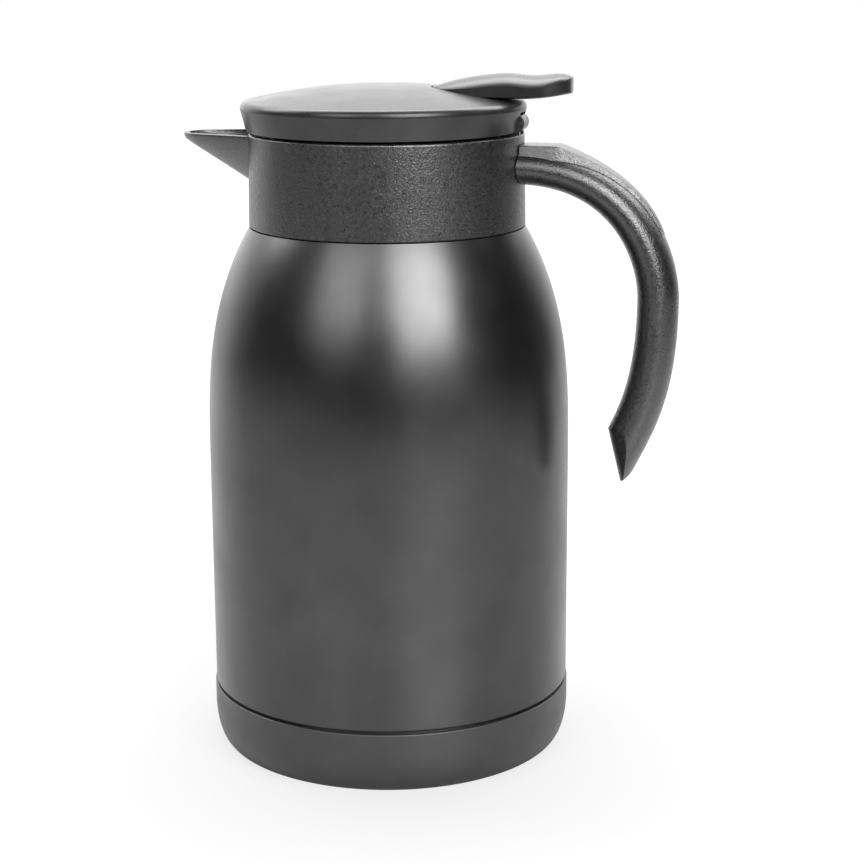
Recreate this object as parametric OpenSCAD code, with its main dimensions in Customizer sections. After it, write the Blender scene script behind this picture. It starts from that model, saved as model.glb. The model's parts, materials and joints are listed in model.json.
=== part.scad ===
// Thermal carafe with a flip lid.
// The origin is the centre of the flat foot and +Z is up.
// The beak points along -X and the handle along +X. Sizes are in millimetres.

/* [Body] */
// Outside radius of the straight body
body_r = 65; // [62:0.5:68]
// Height of the straight wall between the base cup and the shoulder
straight_h = 83.8; // [60:0.2:100]
// Height of the shoulder, from the straight wall to the ledge under the collar
shoulder_h = 83.6; // [75:0.2:95]
// Lean of the shoulder from vertical where it meets the ledge
shoulder_lean = 30; // [26:1:34]
// Width of the ledge that the collar stands on
ledge_w = 8.4; // [8:0.1:9]

/* [Vacuum bottle] */
// Thickness of the steel sheet
sheet = 0.6; // [0.5:0.1:0.8]
// Width of the evacuated space between the two bottles
vacuum_gap = 4.4; // [3.5:0.1:5]
// Width of the steel rim between mouth and neck
rim_w = 3.5; // [3:0.1:4]
// Height of the steel neck above the ledge
neck_h = 10.4; // [9.4:0.2:12]
// How far the steel mouth stands back from the seat
mouth_back = 0.8; // [0.5:0.1:1.2]
// Width of the flange that the shell base is welded into
flange_w = 4.6; // [3:0.1:8]
// Rise of the dished shell base
dish_rise = 3; // [2:0.2:4]
// Width of the flat rim around the dish
dish_rim = 3; // [2:0.5:5]
// Width of the slope around the dish
dish_slope = 5; // [3:0.5:8]
// Radius of the raised place around the pumping hole
pump_boss_r = 7; // [5:0.5:9]
// Height of the raised place around the pumping hole
pump_boss_h = 0.8; // [0.5:0.1:1.2]
// Space between the shell base and the liner's bottom
floor_gap = 4.2; // [3:0.1:6]
// Height of the liner's stamped bottom cup
liner_cup_h = 19; // [16:1:30]
// Corner radius of the liner's bottom cup
liner_corner = 14; // [8:1:15]
// Radius of the getter capsule
getter_r = 6; // [4:0.5:8]
// Height of the getter capsule
getter_h = 1.6; // [1:0.1:2.4]
// Distance of the getter capsule from the axis
getter_x = 20; // [16:1:28]
// Radius of the pumping hole in the shell base
pump_hole_r = 1.5; // [1:0.1:2]
// Radius of the solder bead over the pumping hole
bead_r = 3.2; // [2.6:0.1:4]
// Radius of the solder bead's tip
bead_tip_r = 2.2; // [1.6:0.1:2.6]
// Height of the solder bead below the hole
bead_h = 0.9; // [0.5:0.1:1.2]

/* [Base cup] */
// Height of the base cup
cup_h = 22.2; // [18:0.2:26]
// How far the cup stands proud of the body
cup_proud = 0.4; // [0.2:0.1:0.8]
// How far the flat foot stays inside the cup's outside
foot_inset = 5.5; // [3:0.1:7]
// Height of the cup's rounded lower corner
cup_corner_h = 14.8; // [10:0.2:16]
// Wall of the cup
cup_wall = 1.7; // [1.4:0.1:2.2]
// Floor of the cup
cup_floor = 2.6; // [2:0.1:3.2]
// Corner radius of the bottle inside the cup
bottle_corner = 9; // [8:0.5:12]
// Shadow gap between the cup and the body
cup_seam = 0.6; // [0.4:0.1:1]
// Inner radius of the shallow groove in the foot
groove_r = 34; // [28:1:38]
// Width of the shallow groove in the foot
groove_w = 14; // [8:1:18]
// Depth of the shallow groove in the foot
groove_d = 0.8; // [0.4:0.1:1.2]

/* [Collar] */
// Height of the collar
collar_h = 32.8; // [30:0.2:36]
// How much narrower the collar is at its top
collar_taper = 0.5; // [0.3:0.1:1]
// Wall of the collar
collar_wall = 2.6; // [2.2:0.1:3]
// Thickness of the deck on top of the collar
deck_t = 2.4; // [2:0.1:3]
// Rounding of the collar's top edge
collar_edge = 0.8; // [0.5:0.1:1.2]
// Shadow gap between the collar and the ledge
collar_seam = 0.3; // [0.2:0.1:0.5]

/* [Beak] */
// Distance of the beak's lip from the collar
beak_out = 25.1; // [22:0.1:28]
// Half angle of the conical beak
beak_angle = 36; // [34:0.5:38]
// Radius of the rounded lip
lip_r = 1.5; // [1:0.1:2]
// Wall of the beak
beak_wall = 1.8; // [1.4:0.1:2.2]
// How far the beak's rim lies below the collar's top
beak_drop = 0.4; // [0.2:0.1:1]
// Depth of the pouring channel below the collar's top
channel_depth = 14.9; // [13:0.1:15.5]
// Radius of the round-bottomed passage through the collar
passage_r = 17; // [15:0.5:18]
// Wall of the passage inside the collar
passage_wall = 2; // [1.6:0.1:2.4]

/* [Throat] */
// Width of the funnel between the seat and the throat
funnel_w = 4; // [3.6:0.1:4.4]
// Wall of the throat
throat_wall = 2; // [1.6:0.1:2.2]
// Radius of the seat that the lid's seal closes, which sets the size of mouth, collar and lid
seat_r = 36.2; // [34:0.1:38]
// Height of the straight seat
seat_h = 1.4; // [1.2:0.1:2]
// Lean of the funnel above the seat, from vertical
funnel_lean = 23; // [21:1:26]
// Thickness of the neck gasket
gasket_t = 1.2; // [1:0.1:1.6]
// Clearance between the throat's skirt and the steel neck
neck_clear = 0.1; // [0.05:0.05:0.2]
// Length of the skirt that grips the neck
grip_h = 9; // [7:0.2:9.4]

/* [Hinge] */
// Distance of the hinge axis inside the collar's outside
hinge_inset = 4.2; // [4:0.1:4.4]
// Height of the hinge axis above the collar's top
hinge_rise = 3.8; // [3.8:0.1:4]
// Outside radius of the ears and the knuckle
barrel_r = 3.2; // [2.8:0.1:3.3]
// Radius of the hinge pin
pin_r = 1.5; // [1.2:0.1:1.7]
// Radial running clearance of the knuckle on the pin
pin_clear = 0.08; // [0.05:0.01:0.1]
// Width of the lid's knuckle
knuckle_w = 16; // [12:0.5:18]
// Width of each ear
ear_w = 3.7; // [3:0.1:4.5]
// Side play between an ear and what is next to it
side_play = 0.35; // [0.3:0.05:0.5]

/* [Lid cover] */
// Gap between the collar and the lid's skirt
lid_gap = 0.9; // [0.7:0.1:1.2]
// How far the lid's widest edge stands out over the collar
lid_out = 1.7; // [1.2:0.1:2.5]
// How far the skirt's lower edge stays inside the collar
skirt_in = 0.3; // [0:0.1:0.7]
// Height of the widest point above the skirt's lower edge
skirt_h = 8; // [7:0.1:9]
// Rounding of the rim
rim_round = 2.4; // [2:0.1:3]
// Radius of the dome's sphere
crown_r = 223; // [200:1:260]
// Wall of the lid cover
lid_wall = 2; // [1.8:0.1:2.4]
// How far the lid's centre lies towards the beak
lid_shift = 0.6; // [0.4:0.1:1]
// Distance of the lid's flat back behind the hinge axis
back_gap = 1.4; // [1:0.1:1.5]
// Clearance between the lid and the hinge ears
ear_clear = 0.6; // [0.5:0.1:0.8]

/* [Thumb lever] */
// Length of the lever
lever_l = 49.7; // [47:0.1:51]
// How far the lever stands out behind the lid
lever_over = 20.2; // [18:0.1:20.4]
// Width of the lever
lever_w = 23; // [20:0.5:26]
// Length of the elliptical nose
nose_l = 19; // [14:0.5:22]
// Corner radius of the rear end
lever_corner = 5; // [3:0.5:7]
// Height of the lever's flat underside above the skirt's lower edge
lever_seat = 12.3; // [12.2:0.1:12.5]
// Height of the lever's highest point above its underside
lever_h = 7.5; // [7:0.1:8]
// Thickness of the lever at its nose
nose_t = 2.8; // [2.4:0.1:3.2]
// Distance of the highest point from the rear end
peak_gap = 22.4; // [20:0.1:24]
// Length of the thumb dish behind the highest point
thumb_l = 18; // [16:0.5:19]
// Depth of the thumb dish
thumb_dish = 0.6; // [0.3:0.1:1]
// Drop of the top behind the thumb dish
heel_drop = 1.2; // [0.8:0.1:1.6]
// Rise of the top across the lever's width
lever_crown = 3; // [2.6:0.1:3.4]
// Rounding of the lever's upper edge
lever_edge = 0.7; // [0.4:0.1:1]
// Rise of the underside towards the rear end
heel_rise = 1.7; // [1.4:0.1:2.2]
// Length of the rising underside
heel_l = 14.4; // [10:0.2:18]
// Reveal around the lever's nose
reveal = 0.6; // [0.4:0.1:0.8]
// Thickness of the pad under the lever
pad_t = 2.6; // [2.2:0.1:3]

/* [Stopper] */
// Gap between the stopper's top flange and the throat
flange_play = 1; // [0.8:0.1:1.4]
// Height of the flange above the underside of the collar's deck
flange_up = 1.6; // [1.4:0.1:2]
// Thickness of the stopper's top plate
plug_top_t = 2; // [1.6:0.1:2.4]
// Wall of the stopper
plug_wall = 2.6; // [2.4:0.1:3]
// Step between the flange and the stopper's wall
flange_step = 1.2; // [0.8:0.1:1.6]
// How much narrower the stopper's lower end is than the seat
foot_play = 2.8; // [2.4:0.1:3.4]
// How far the stopper reaches below the seat's upper edge
plug_reach = 3.4; // [3:0.1:3.8]
// Clearance between the seal and its seat
seal_clear = 0.3; // [0.25:0.05:0.4]
// How far the seal stands out of the stopper
seal_lip = 1.3; // [1:0.1:1.6]
// Height of the seal
seal_h = 2; // [1.6:0.1:2.2]
// Depth of the groove that holds the seal
seal_groove = 1.4; // [1:0.1:1.6]
// Thickness of the stopper's bottom cap
cap_t = 1.8; // [1.5:0.1:2.2]
// Thickness of the insulation
foam_t = 14; // [10:0.5:15]
// Play of the insulation in the stopper
foam_play = 0.3; // [0.2:0.1:0.5]

/* [Handle] */
// Depth of the handle's centre line below the collar's top at the root
root_drop = 11.2; // [10.8:0.1:12]
// Distance of the handle's centre line from the body's side where it is farthest
handle_out = 31.6; // [28:0.2:36]
// Depth of the farthest point below the collar's top
belly_drop = 56.7; // [52:0.2:62]
// Depth of the centre line's lower end below the collar's top
end_drop = 126.4; // [120:0.2:132]
// How far the lower end comes back towards the body
end_return = 19.5; // [16:0.2:22]
// How far the straight root stops short of the farthest point
bend_in = 10.3; // [8:0.1:13]
// Pull of the upper bend above the farthest point
bend_up = 14.7; // [12:0.1:18]
// Pull of the lower bend below the farthest point
bend_down = 39.9; // [34:0.1:44]
// Pull of the lower end outwards
end_out = 8.7; // [6:0.1:11]
// Pull of the lower end upwards
end_up = 21.3; // [18:0.1:26]
// Thickness of the handle at the root
root_t = 12.5; // [11:0.1:13]
// Thickness of the handle at the lower end
end_t = 15; // [13:0.1:16]
// Width of the handle
handle_w = 21.6; // [18:0.2:24]
// Squareness of the handle's section, where 2 is an ellipse
section_power = 2.4; // [2:0.1:3]
// Depth of the rib's flat top below the collar's top
rib_drop = 3.5; // [3.2:0.1:4]
// Length of the rib's flat top behind the collar
rib_flat = 12.3; // [10:0.1:14]
// Width of the rib at the collar
rib_w = 14; // [10:0.5:16]
// Width of the rib where it runs out
rib_end_w = 4; // [2:0.5:6]
// Length of the slanted cut at the lower end
cut_l = 20; // [16:0.5:24]
// Height of the cut's lower edge above the centre line's end
cut_rise = 4.2; // [3:0.1:6]
// Lean of the slanted cut from vertical
cut_lean = 13.6; // [12:0.2:16]
// Radius of the rounded cut face
cut_r = 12; // [11:0.5:16]
// Slope of the blunt tip below the cut
tip_lean = 37; // [30:1:45]

/* [Fasteners] */
// Shank radius of the handle screws
handle_screw_r = 1.5; // [1.2:0.1:1.8]
// Spacing of the handle screws
handle_screw_gap = 12; // [10:0.5:13]
// Length of the handle screws in the handle
handle_screw_l = 9; // [6:0.5:12]
// Shank radius of the lid screws
lid_screw_r = 1.25; // [1:0.05:1.4]
// Head radius of all screws
screw_head_r = 2.6; // [2.2:0.1:2.8]
// Head height of all screws
screw_head_h = 1.6; // [1.2:0.1:1.8]
// Clearance of a screw in the piece it passes through
screw_clear = 0.2; // [0.15:0.05:0.3]
// Distance of the stopper screws from the axis
plug_screw_x = 24; // [20:0.5:27]
// Radius of the bosses for the stopper screws
boss_r = 3.4; // [3:0.1:4]
// Length of the lever screws in the lever
lever_screw_l = 4; // [3:0.5:4.5]
// Distance of the first lever screw from the lever's nose
lever_screw_in = 9.3; // [8:0.1:10.3]
// Spacing of the lever screws
lever_screw_gap = 12; // [10:0.5:12.5]
// Length of the stopper screws in their bosses
plug_screw_l = 8; // [6:0.5:9]

/* [Hidden] */
$fn = 96;
black = [0.17, 0.17, 0.18];
charcoal = [0.24, 0.24, 0.25];
steel = [0.75, 0.76, 0.77];
// Length that reaches past everything
far = 400;
// Length by which a cut runs past the surface that it opens
over = 1;
// Clearance between pieces that are pushed together
fit = 0.1;
// Small chamfer on moulded edges
edge = 0.4;

// Radii that step out from the seat
mouth_r = seat_r + mouth_back;
neck_r = mouth_r + rim_w;
ledge_r = neck_r + ledge_w;
collar_r = ledge_r + fit;
collar_top_r = collar_r - collar_taper;
throat_r = seat_r + funnel_w;
throat_out_r = throat_r + throat_wall;
grip_r = neck_r + neck_clear;

// Heights that stack up from the foot
shoulder_z = cup_h + straight_h;
ledge_z = shoulder_z + shoulder_h;
rim_z = ledge_z + neck_h;
collar_z = ledge_z + collar_seam;
collar_top = ledge_z + collar_h;
skirt_z = collar_top + lid_gap;
hinge_z = collar_top + hinge_rise;
beak_z = collar_top - beak_drop;
channel_z = collar_top - channel_depth;

// Bottle
bottle_r = body_r + cup_proud - cup_wall - fit;
base_hole_r = bottle_r - bottle_corner - flange_w;
step_z = cup_h + cup_seam;
step_round = 1.2;
neck_fillet = 2;
neck_z = ledge_z + neck_fillet;
base_z = cup_floor + dish_rise + sheet;
liner_z = base_z + floor_gap;
liner_seam_z = liner_z + liner_cup_h;
liner_r = body_r - sheet - vacuum_gap;
shoulder = [[body_r, shoulder_z],
    [body_r, shoulder_z + shoulder_h / 3],
    [ledge_r + tan(shoulder_lean) * shoulder_h / 3, ledge_z - shoulder_h / 3],
    [ledge_r, ledge_z]];
// Share of the shoulder's curve that the shell's inner face and the liner follow
shell_turn = 0.98;
liner_turn = 0.85;
// Share of the shoulder's curve at which the liner's wall and its shoulder are welded
liner_weld = 0.14;
// Shares of its two curves that are left out where the liner blends from one to the next
liner_blend = [0.04, 0.08];
// Length and depth of the bend that draws the liner in to the mouth
liner_bend = 7;
mouth_depth = 6.6;
liner_a = bezier_offset(shoulder, liner_turn, -sheet - vacuum_gap);
liner_dir = bezier_way(shoulder, liner_turn);
liner_neck_r = mouth_r + sheet;
liner_neck = [liner_a, liner_a + liner_bend * liner_dir,
    [liner_neck_r, ledge_z - mouth_depth], [liner_neck_r, ledge_z]];

// Collar, beak and throat
lip_x = lip_r - collar_r - beak_out;
beak_apex = lip_x - lip_r / sin(beak_angle);
channel_apex = beak_apex + beak_wall / sin(beak_angle);
passage_z = channel_z + passage_r;
// How far the passage runs in past the seat
passage_in = 4;
web_z = rim_z + gasket_t;
// Thickness and slope of the web between the throat's skirt and its wall
web_t = 3;
web_slope = 1;
seat_top = web_z + seat_h;
funnel_top = seat_top + (throat_r - seat_r) / tan(funnel_lean);
deck_z = collar_top - deck_t;

// Hinge
hinge_x = collar_r - hinge_inset;
// How far the ear's foot stays in front of the barrel's back
ear_setback = 1.2;
pin_l = knuckle_w + 2 * side_play + 2 * ear_w;
slot_w = pin_l + 2 * side_play;

// Lid cover
lid_r = collar_r + lid_out;
skirt_r = collar_r - skirt_in;
lid_back = hinge_x + back_gap;
rim_c = lid_r - rim_round;
rim_z0 = skirt_z + skirt_h;
crown_z = rim_z0 - sqrt(pow(crown_r - rim_round, 2) - rim_c * rim_c);
crown_end = asin(rim_c / (crown_r - rim_round));
skirt_lean = atan((lid_r - skirt_r) / skirt_h);
lever_z = skirt_z + lever_seat;
lever_top = lever_z + lever_h;
lever_end = lid_back + lever_over;
lever_nose = lever_end - lever_l;
lever_peak = lever_end - peak_gap;
// Fullness of the lever's slope and of its rounded edges
slope_power = 1.8;
edge_power = 12;

// Stopper
flange_z = deck_z + flange_up;
plug_top = flange_z + plug_top_t;
flange_r = throat_r - flange_play;
wall_top_r = flange_r - flange_step;
plug_foot_r = seat_r - foot_play;
seal_r = seat_r - seal_clear;
land_r = seal_r - seal_lip;
plug_z = seat_top - plug_reach;
seal_z = seat_top - seal_clear;
foam_z = plug_z + cap_t + foam_play;

// Handle
root_z = collar_top - root_drop;
rib_z = collar_top - rib_drop;
belly_z = collar_top - belly_drop;
end_z = collar_top - end_drop;
handle_x = body_r + handle_out;
end_x = handle_x - end_return;
// Depth of the handle's root inside the collar's outside, before it is cut to fit
root_in = 2;
handle_a = [[collar_r - root_in, root_z], [handle_x - bend_in, root_z],
    [handle_x, belly_z + bend_up], [handle_x, belly_z]];
handle_b = [[handle_x, belly_z], [handle_x, belly_z - bend_down],
    [end_x + end_out, end_z + end_up], [end_x, end_z]];
// Pulls of the rib's crest: behind its flat top, at the bend, and where it runs out, each out and down
rib_start = [13.2, 4.7];
rib_bend = [-4.1, 13.4];
rib_foot = [1.9, 30.9];

// Points on an arc around c, from angle a to angle b
function arc(c, r, a, b, n = 8) =
    [for (i = [0:n]) let (w = a + (b - a) * i / n) c + r * [cos(w), sin(w)]];

function reverse(v) = [for (i = [len(v) - 1:-1:0]) v[i]];

function bezier(p, t) =
    pow(1 - t, 3) * p[0] + 3 * pow(1 - t, 2) * t * p[1] + 3 * (1 - t) * t * t * p[2] + pow(t, 3) * p[3];

// Unit vector along a curve
function bezier_way(p, t) =
    let (d = pow(1 - t, 2) * (p[1] - p[0]) + 2 * (1 - t) * t * (p[2] - p[1]) + t * t * (p[3] - p[2]))
    d / norm(d);

// Point beside a curve, positive to the right of its direction
function bezier_offset(p, t, d) =
    let (w = bezier_way(p, t))
    bezier(p, t) + d * [w[1], -w[0]];

// Points beside a curve between two of its parameters
function beside(p, d, a, b, n = 20) =
    [for (i = [0:n]) bezier_offset(p, a + (b - a) * i / n, d)];

// Side of the liner's wall up to its weld, d outside its outer face
function liner_wall(d) =
    concat([[liner_r + d, liner_seam_z], [liner_r + d, shoulder_z]],
        beside(shoulder, d - sheet - vacuum_gap, liner_blend[0], liner_weld, 2));

// Side of the liner's shoulder from the weld to the neck ring, d outside its outer face
function liner_curve(d) =
    concat(beside(shoulder, d - sheet - vacuum_gap, liner_weld, liner_turn, 16),
        beside(liner_neck, d, liner_blend[1], 1, 10),
        [[liner_neck_r + d, neck_z]]);

// Outline of the lever seen from above, grown by g
function lever_outline(g) =
    let (w = lever_w / 2 + g,
        nose = [lever_nose + nose_l, 0],
        side = [for (i = [0:12]) let (a = 90 * i / 12) nose + [-(nose_l + g) * cos(a), w * sin(a)]],
        heel = arc([lever_end + g - lever_corner, w - lever_corner], lever_corner, 90, 0, 6),
        half = concat(side, heel))
    concat(half, [for (p = reverse(half)) [p[0], -p[1]]]);

// Half width of the lever at distance x behind the axis
function lever_half(x) =
    let (n = lever_nose + nose_l - x,
        c = x - lever_end + lever_corner)
    n > 0 ? lever_w / 2 * sqrt(max(0, 1 - pow(n / nose_l, 2)))
    : c > 0 ? lever_w / 2 - lever_corner + sqrt(max(0, pow(lever_corner, 2) - c * c))
    : lever_w / 2;

// Height of the lever's top along its middle
function lever_ridge(x) =
    x < lever_peak
    ? lever_top - (lever_h - nose_t) * pow((lever_peak - x) / (lever_peak - lever_nose), slope_power)
    : lever_top - thumb_dish * pow(sin(180 * min(1, (x - lever_peak) / thumb_l)), 2)
        - heel_drop * pow(max(0, x - lever_peak - thumb_l) / (peak_gap - thumb_l), 2);

// Height of the lever's underside
function lever_under(x) =
    lever_z + heel_rise * pow(max(0, (x - lever_end + heel_l) / heel_l), 1.5);

// Cylinder along X with its lower end at x
module rod_x(x, l, r1, r2) {
    translate([x, 0, 0]) rotate([0, 90, 0]) cylinder(h = l, r1 = r1, r2 = r2);
}

// Cylinder along Y, centred
module rod_y(l, r) {
    rotate([90, 0, 0]) cylinder(h = l, r = r, center = true);
}

// Everything below height z
module below(z) {
    translate([-far / 2, -far / 2, z - far]) cube(far);
}

// Everything in front of distance x behind the axis
module before(x) {
    translate([x - far, -far / 2, 0]) cube(far);
}

module outer_shell() {
    color(black)
    rotate_extrude()
    polygon(concat(
        [[base_hole_r, cup_floor]],
        arc([bottle_r - bottle_corner, cup_floor + bottle_corner], bottle_corner, -90, 0),
        [[bottle_r, step_z]],
        arc([body_r - step_round, step_z + step_round], step_round, -90, 0, 4),
        [[body_r, shoulder_z], [body_r - sheet, shoulder_z]],
        arc([body_r - step_round, step_z + step_round], step_round - sheet, 0, -90, 4),
        [[bottle_r - sheet, step_z + sheet]],
        arc([bottle_r - bottle_corner, cup_floor + bottle_corner], bottle_corner - sheet, 0, -90),
        [[base_hole_r, cup_floor + sheet]]));
}

module shell_shoulder() {
    color(black)
    rotate_extrude()
    polygon(concat(
        beside(shoulder, 0, 0, 1, 24),
        arc([neck_r + neck_fillet, neck_z], neck_fillet, -90, -180, 4),
        arc([neck_r + neck_fillet, neck_z], neck_fillet + sheet, -180, -90, 4),
        reverse(beside(shoulder, -sheet, 0, shell_turn, 24))));
}

// Drawn ring that is welded between the necks of the two bottles
module neck_ring() {
    color(steel)
    rotate_extrude()
    polygon([[mouth_r, neck_z], [mouth_r, rim_z], [neck_r, rim_z], [neck_r, neck_z],
        [neck_r - sheet, neck_z], [neck_r - sheet, rim_z - sheet],
        [liner_neck_r, rim_z - sheet], [liner_neck_r, neck_z]]);
}

// Path of the dished disc's lower face, raised by z
function dish_path(z) =
    let (low = cup_floor + z, high = low + dish_rise)
    [[base_hole_r, low], [base_hole_r - dish_rim, low], [base_hole_r - dish_rim - dish_slope, high],
        [pump_boss_r + dish_rim, high], [pump_boss_r, high + pump_boss_h], [pump_hole_r, high + pump_boss_h]];

module shell_base() {
    color(steel)
    rotate_extrude()
    polygon(concat(dish_path(0), reverse(dish_path(sheet))));
}

module vacuum_seal() {
    hole_z = cup_floor + dish_rise + pump_boss_h;
    color("gray") {
        translate([0, 0, hole_z]) cylinder(h = sheet, r = pump_hole_r);
        translate([0, 0, hole_z - bead_h]) cylinder(h = bead_h, r1 = bead_tip_r, r2 = bead_r);
    }
}

module inner_liner() {
    color(steel)
    rotate_extrude()
    polygon(concat(liner_wall(0), reverse(liner_wall(-sheet))));
}

module liner_shoulder() {
    color(steel)
    rotate_extrude()
    polygon(concat(liner_curve(0), reverse(liner_curve(-sheet))));
}

module liner_base() {
    c = [liner_r - liner_corner, liner_z + liner_corner];
    color(steel)
    rotate_extrude()
    polygon(concat(
        [[0, liner_z]],
        arc(c, liner_corner, -90, 0, 10),
        [[liner_r, liner_seam_z], [liner_r - sheet, liner_seam_z]],
        arc(c, liner_corner - sheet, 0, -90, 10),
        [[0, liner_z + sheet]]));
}

module getter() {
    color("darkgray")
    translate([getter_x, 0, liner_z - getter_h]) cylinder(h = getter_h, r = getter_r);
}

module base_cup() {
    cup_r = body_r + cup_proud;
    foot_r = cup_r - foot_inset;
    inner_r = bottle_r + fit;
    inner_corner = bottle_corner + fit;
    color(charcoal)
    rotate_extrude()
    polygon(concat(
        [[0, 0], [groove_r, 0], [groove_r, groove_d],
            [groove_r + groove_w, groove_d], [groove_r + groove_w, 0]],
        [for (i = [0:14]) let (a = 90 * i / 14)
            [foot_r + foot_inset * sin(a), cup_corner_h * (1 - cos(a))]],
        [[cup_r, cup_h - edge], [cup_r - edge, cup_h], [inner_r, cup_h]],
        arc([inner_r - inner_corner, cup_floor + inner_corner], inner_corner, 0, -90),
        [[0, cup_floor]]));
}

// Solid inside the collar's outer surface
module collar_outside() {
    rotate_extrude()
    polygon([[0, collar_z], [collar_r, collar_z], [collar_top_r, collar_top - collar_edge],
        [collar_top_r - collar_edge, collar_top], [0, collar_top]]);
}

// Ring of the collar: wall and deck
module collar_ring() {
    difference() {
        collar_outside();
        translate([0, 0, collar_z - over]) cylinder(h = deck_z - collar_z + over,
            r1 = collar_r - collar_wall, r2 = collar_top_r - collar_wall);
        cylinder(h = far, r = throat_r);
    }
}

// Conical beak, solid
module beak_cone() {
    start = lip_x - lip_r * sin(beak_angle);
    translate([0, 0, beak_z]) {
        rod_x(start, -throat_out_r - start, lip_r * cos(beak_angle),
            (-throat_out_r - beak_apex) * tan(beak_angle));
        translate([lip_x, 0, 0]) sphere(r = lip_r);
    }
}

// Open way of the liquid: cone of the beak and passage through collar and throat
module pour_channel() {
    cone_l = -throat_r - channel_apex;
    translate([0, 0, beak_z])
    intersection() {
        difference() {
            rod_x(channel_apex, cone_l, 0, cone_l * tan(beak_angle));
            cylinder(h = far, r = collar_r - collar_wall, center = true);
        }
        translate([-far, -far / 2, channel_z - beak_z]) cube(far);
    }
    translate([0, 0, passage_z])
    rod_x(-collar_r, collar_r - seat_r + passage_in, passage_r, passage_r);
}

module hinge_ear(side) {
    y = knuckle_w / 2 + side_play + ear_w / 2;
    translate([hinge_x, side * y, hinge_z]) {
        rod_y(ear_w, barrel_r);
        translate([-barrel_r, -ear_w / 2, -hinge_rise - deck_t / 2])
        cube([2 * barrel_r - ear_setback, ear_w, hinge_rise + deck_t / 2]);
    }
}

module spout_collar() {
    color(black)
    difference() {
        union() {
            collar_ring();
            difference() {
                intersection() {
                    beak_cone();
                    below(beak_z);
                }
                cylinder(h = far, r = collar_top_r - collar_wall);
            }
            intersection() {
                translate([0, 0, passage_z])
                rod_x(-collar_r, collar_r - seat_r, passage_r + passage_wall, passage_r + passage_wall);
                difference() {
                    translate([0, 0, collar_z]) cylinder(h = collar_top - collar_z, r = collar_top_r - over);
                    cylinder(h = far, r = throat_out_r);
                }
            }
            hinge_ear(1);
            hinge_ear(-1);
        }
        pour_channel();
        translate([hinge_x, 0, hinge_z]) rod_y(pin_l + over, pin_r);
        handle_holes(handle_screw_r + screw_clear);
    }
}

module throat_ring() {
    color(charcoal)
    difference() {
        rotate_extrude()
        polygon([[seat_r, web_z], [grip_r, web_z], [grip_r, web_z - grip_h],
            [grip_r + throat_wall, web_z - grip_h], [grip_r + throat_wall, web_z + web_t],
            [throat_out_r, web_z + web_t + web_slope], [throat_out_r, deck_z], [throat_r, deck_z],
            [throat_r, funnel_top], [seat_r, seat_top]]);
        pour_channel();
    }
}

module neck_gasket() {
    color("lightgray")
    translate([0, 0, rim_z])
    difference() {
        cylinder(h = gasket_t, r = neck_r);
        cylinder(h = far, r = mouth_r, center = true);
    }
}

// Closed tube through n rings of m points each
module loft(points, m, n) {
    sides = [for (j = [0:n - 2]) for (k = [0:m - 1])
        let (a = j * m + k, b = j * m + (k + 1) % m)
        each [[a, b, a + m], [b, b + m, a + m]]];
    polyhedron(points, concat(sides, [[for (k = [m - 1:-1:0]) k]],
        [[for (k = [0:m - 1]) (n - 1) * m + k]]), convexity = 6);
}

// Corners of the handle's section at point c of its centre line, with way w and half thickness h
function handle_section(c, w, h) =
    [for (k = [0:35]) let (a = 10 * k,
        u = h * sign(cos(a)) * pow(abs(cos(a)), 2 / section_power),
        v = handle_w / 2 * sign(sin(a)) * pow(abs(sin(a)), 2 / section_power))
        [c[0] + u * w[1], -v, c[1] - u * w[0]]];

module handle_tube() {
    steps = 20;
    n = 2 * steps;
    points = [for (i = [0:n])
        let (p = i <= steps ? handle_a : handle_b,
            t = i <= steps ? i / steps : i / steps - 1,
            h = end_t - (end_t - root_t) * pow(1 - i / n, 2))
        each handle_section(bezier(p, t), bezier_way(p, t), h / 2)];
    loft(points, 36, n + 1);
}

// Raised rib along the handle's back
module handle_rib() {
    flat_x = collar_r + rib_flat;
    crest = [[flat_x, rib_z], [flat_x + rib_start[0], rib_z - rib_start[1]],
        [handle_x + rib_bend[0], rib_z - rib_bend[1]], [handle_x + rib_foot[0], rib_z - rib_foot[1]]];
    end = handle_x + rib_foot[0] + over;
    intersection() {
        rotate([90, 0, 0])
        linear_extrude(rib_w, center = true)
        polygon(concat([[collar_r - root_in, rib_z]], beside(crest, 0, 0, 1, 16),
            reverse(beside(handle_a, 0, 0, 1, 16))));
        linear_extrude(far)
        polygon([[0, -rib_w / 2], [flat_x, -rib_w / 2], [end, -rib_end_w / 2],
            [end, rib_end_w / 2], [flat_x, rib_w / 2], [0, rib_w / 2]]);
    }
}

// What the slanted cut and the blunt tip take off the lower end
module handle_cut() {
    reach = 2 * end_t;
    translate([end_x + end_t / 2 - fit, 0, end_z + cut_rise]) {
        rotate([0, -cut_lean, 0])
        difference() {
            translate([-reach, -handle_w, -cut_l]) cube([reach + cut_r, 2 * handle_w, 2 * cut_l + cut_rise]);
            translate([cut_r, 0, -cut_l - over]) cylinder(h = 2 * cut_l + cut_rise + 2 * over, r = cut_r);
        }
        rotate([0, -tip_lean, 0]) translate([-far / 2, -far / 2, -far]) cube(far);
    }
}

module handle_holes(r) {
    for (side = [-1, 1])
        translate([0, side * handle_screw_gap / 2, root_z])
        rod_x(collar_top_r - collar_wall - over, collar_wall + over + handle_screw_l, r, r);
}

module handle() {
    color(charcoal)
    difference() {
        union() {
            handle_tube();
            handle_rib();
        }
        collar_outside();
        handle_holes(handle_screw_r);
        handle_cut();
    }
}

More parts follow.
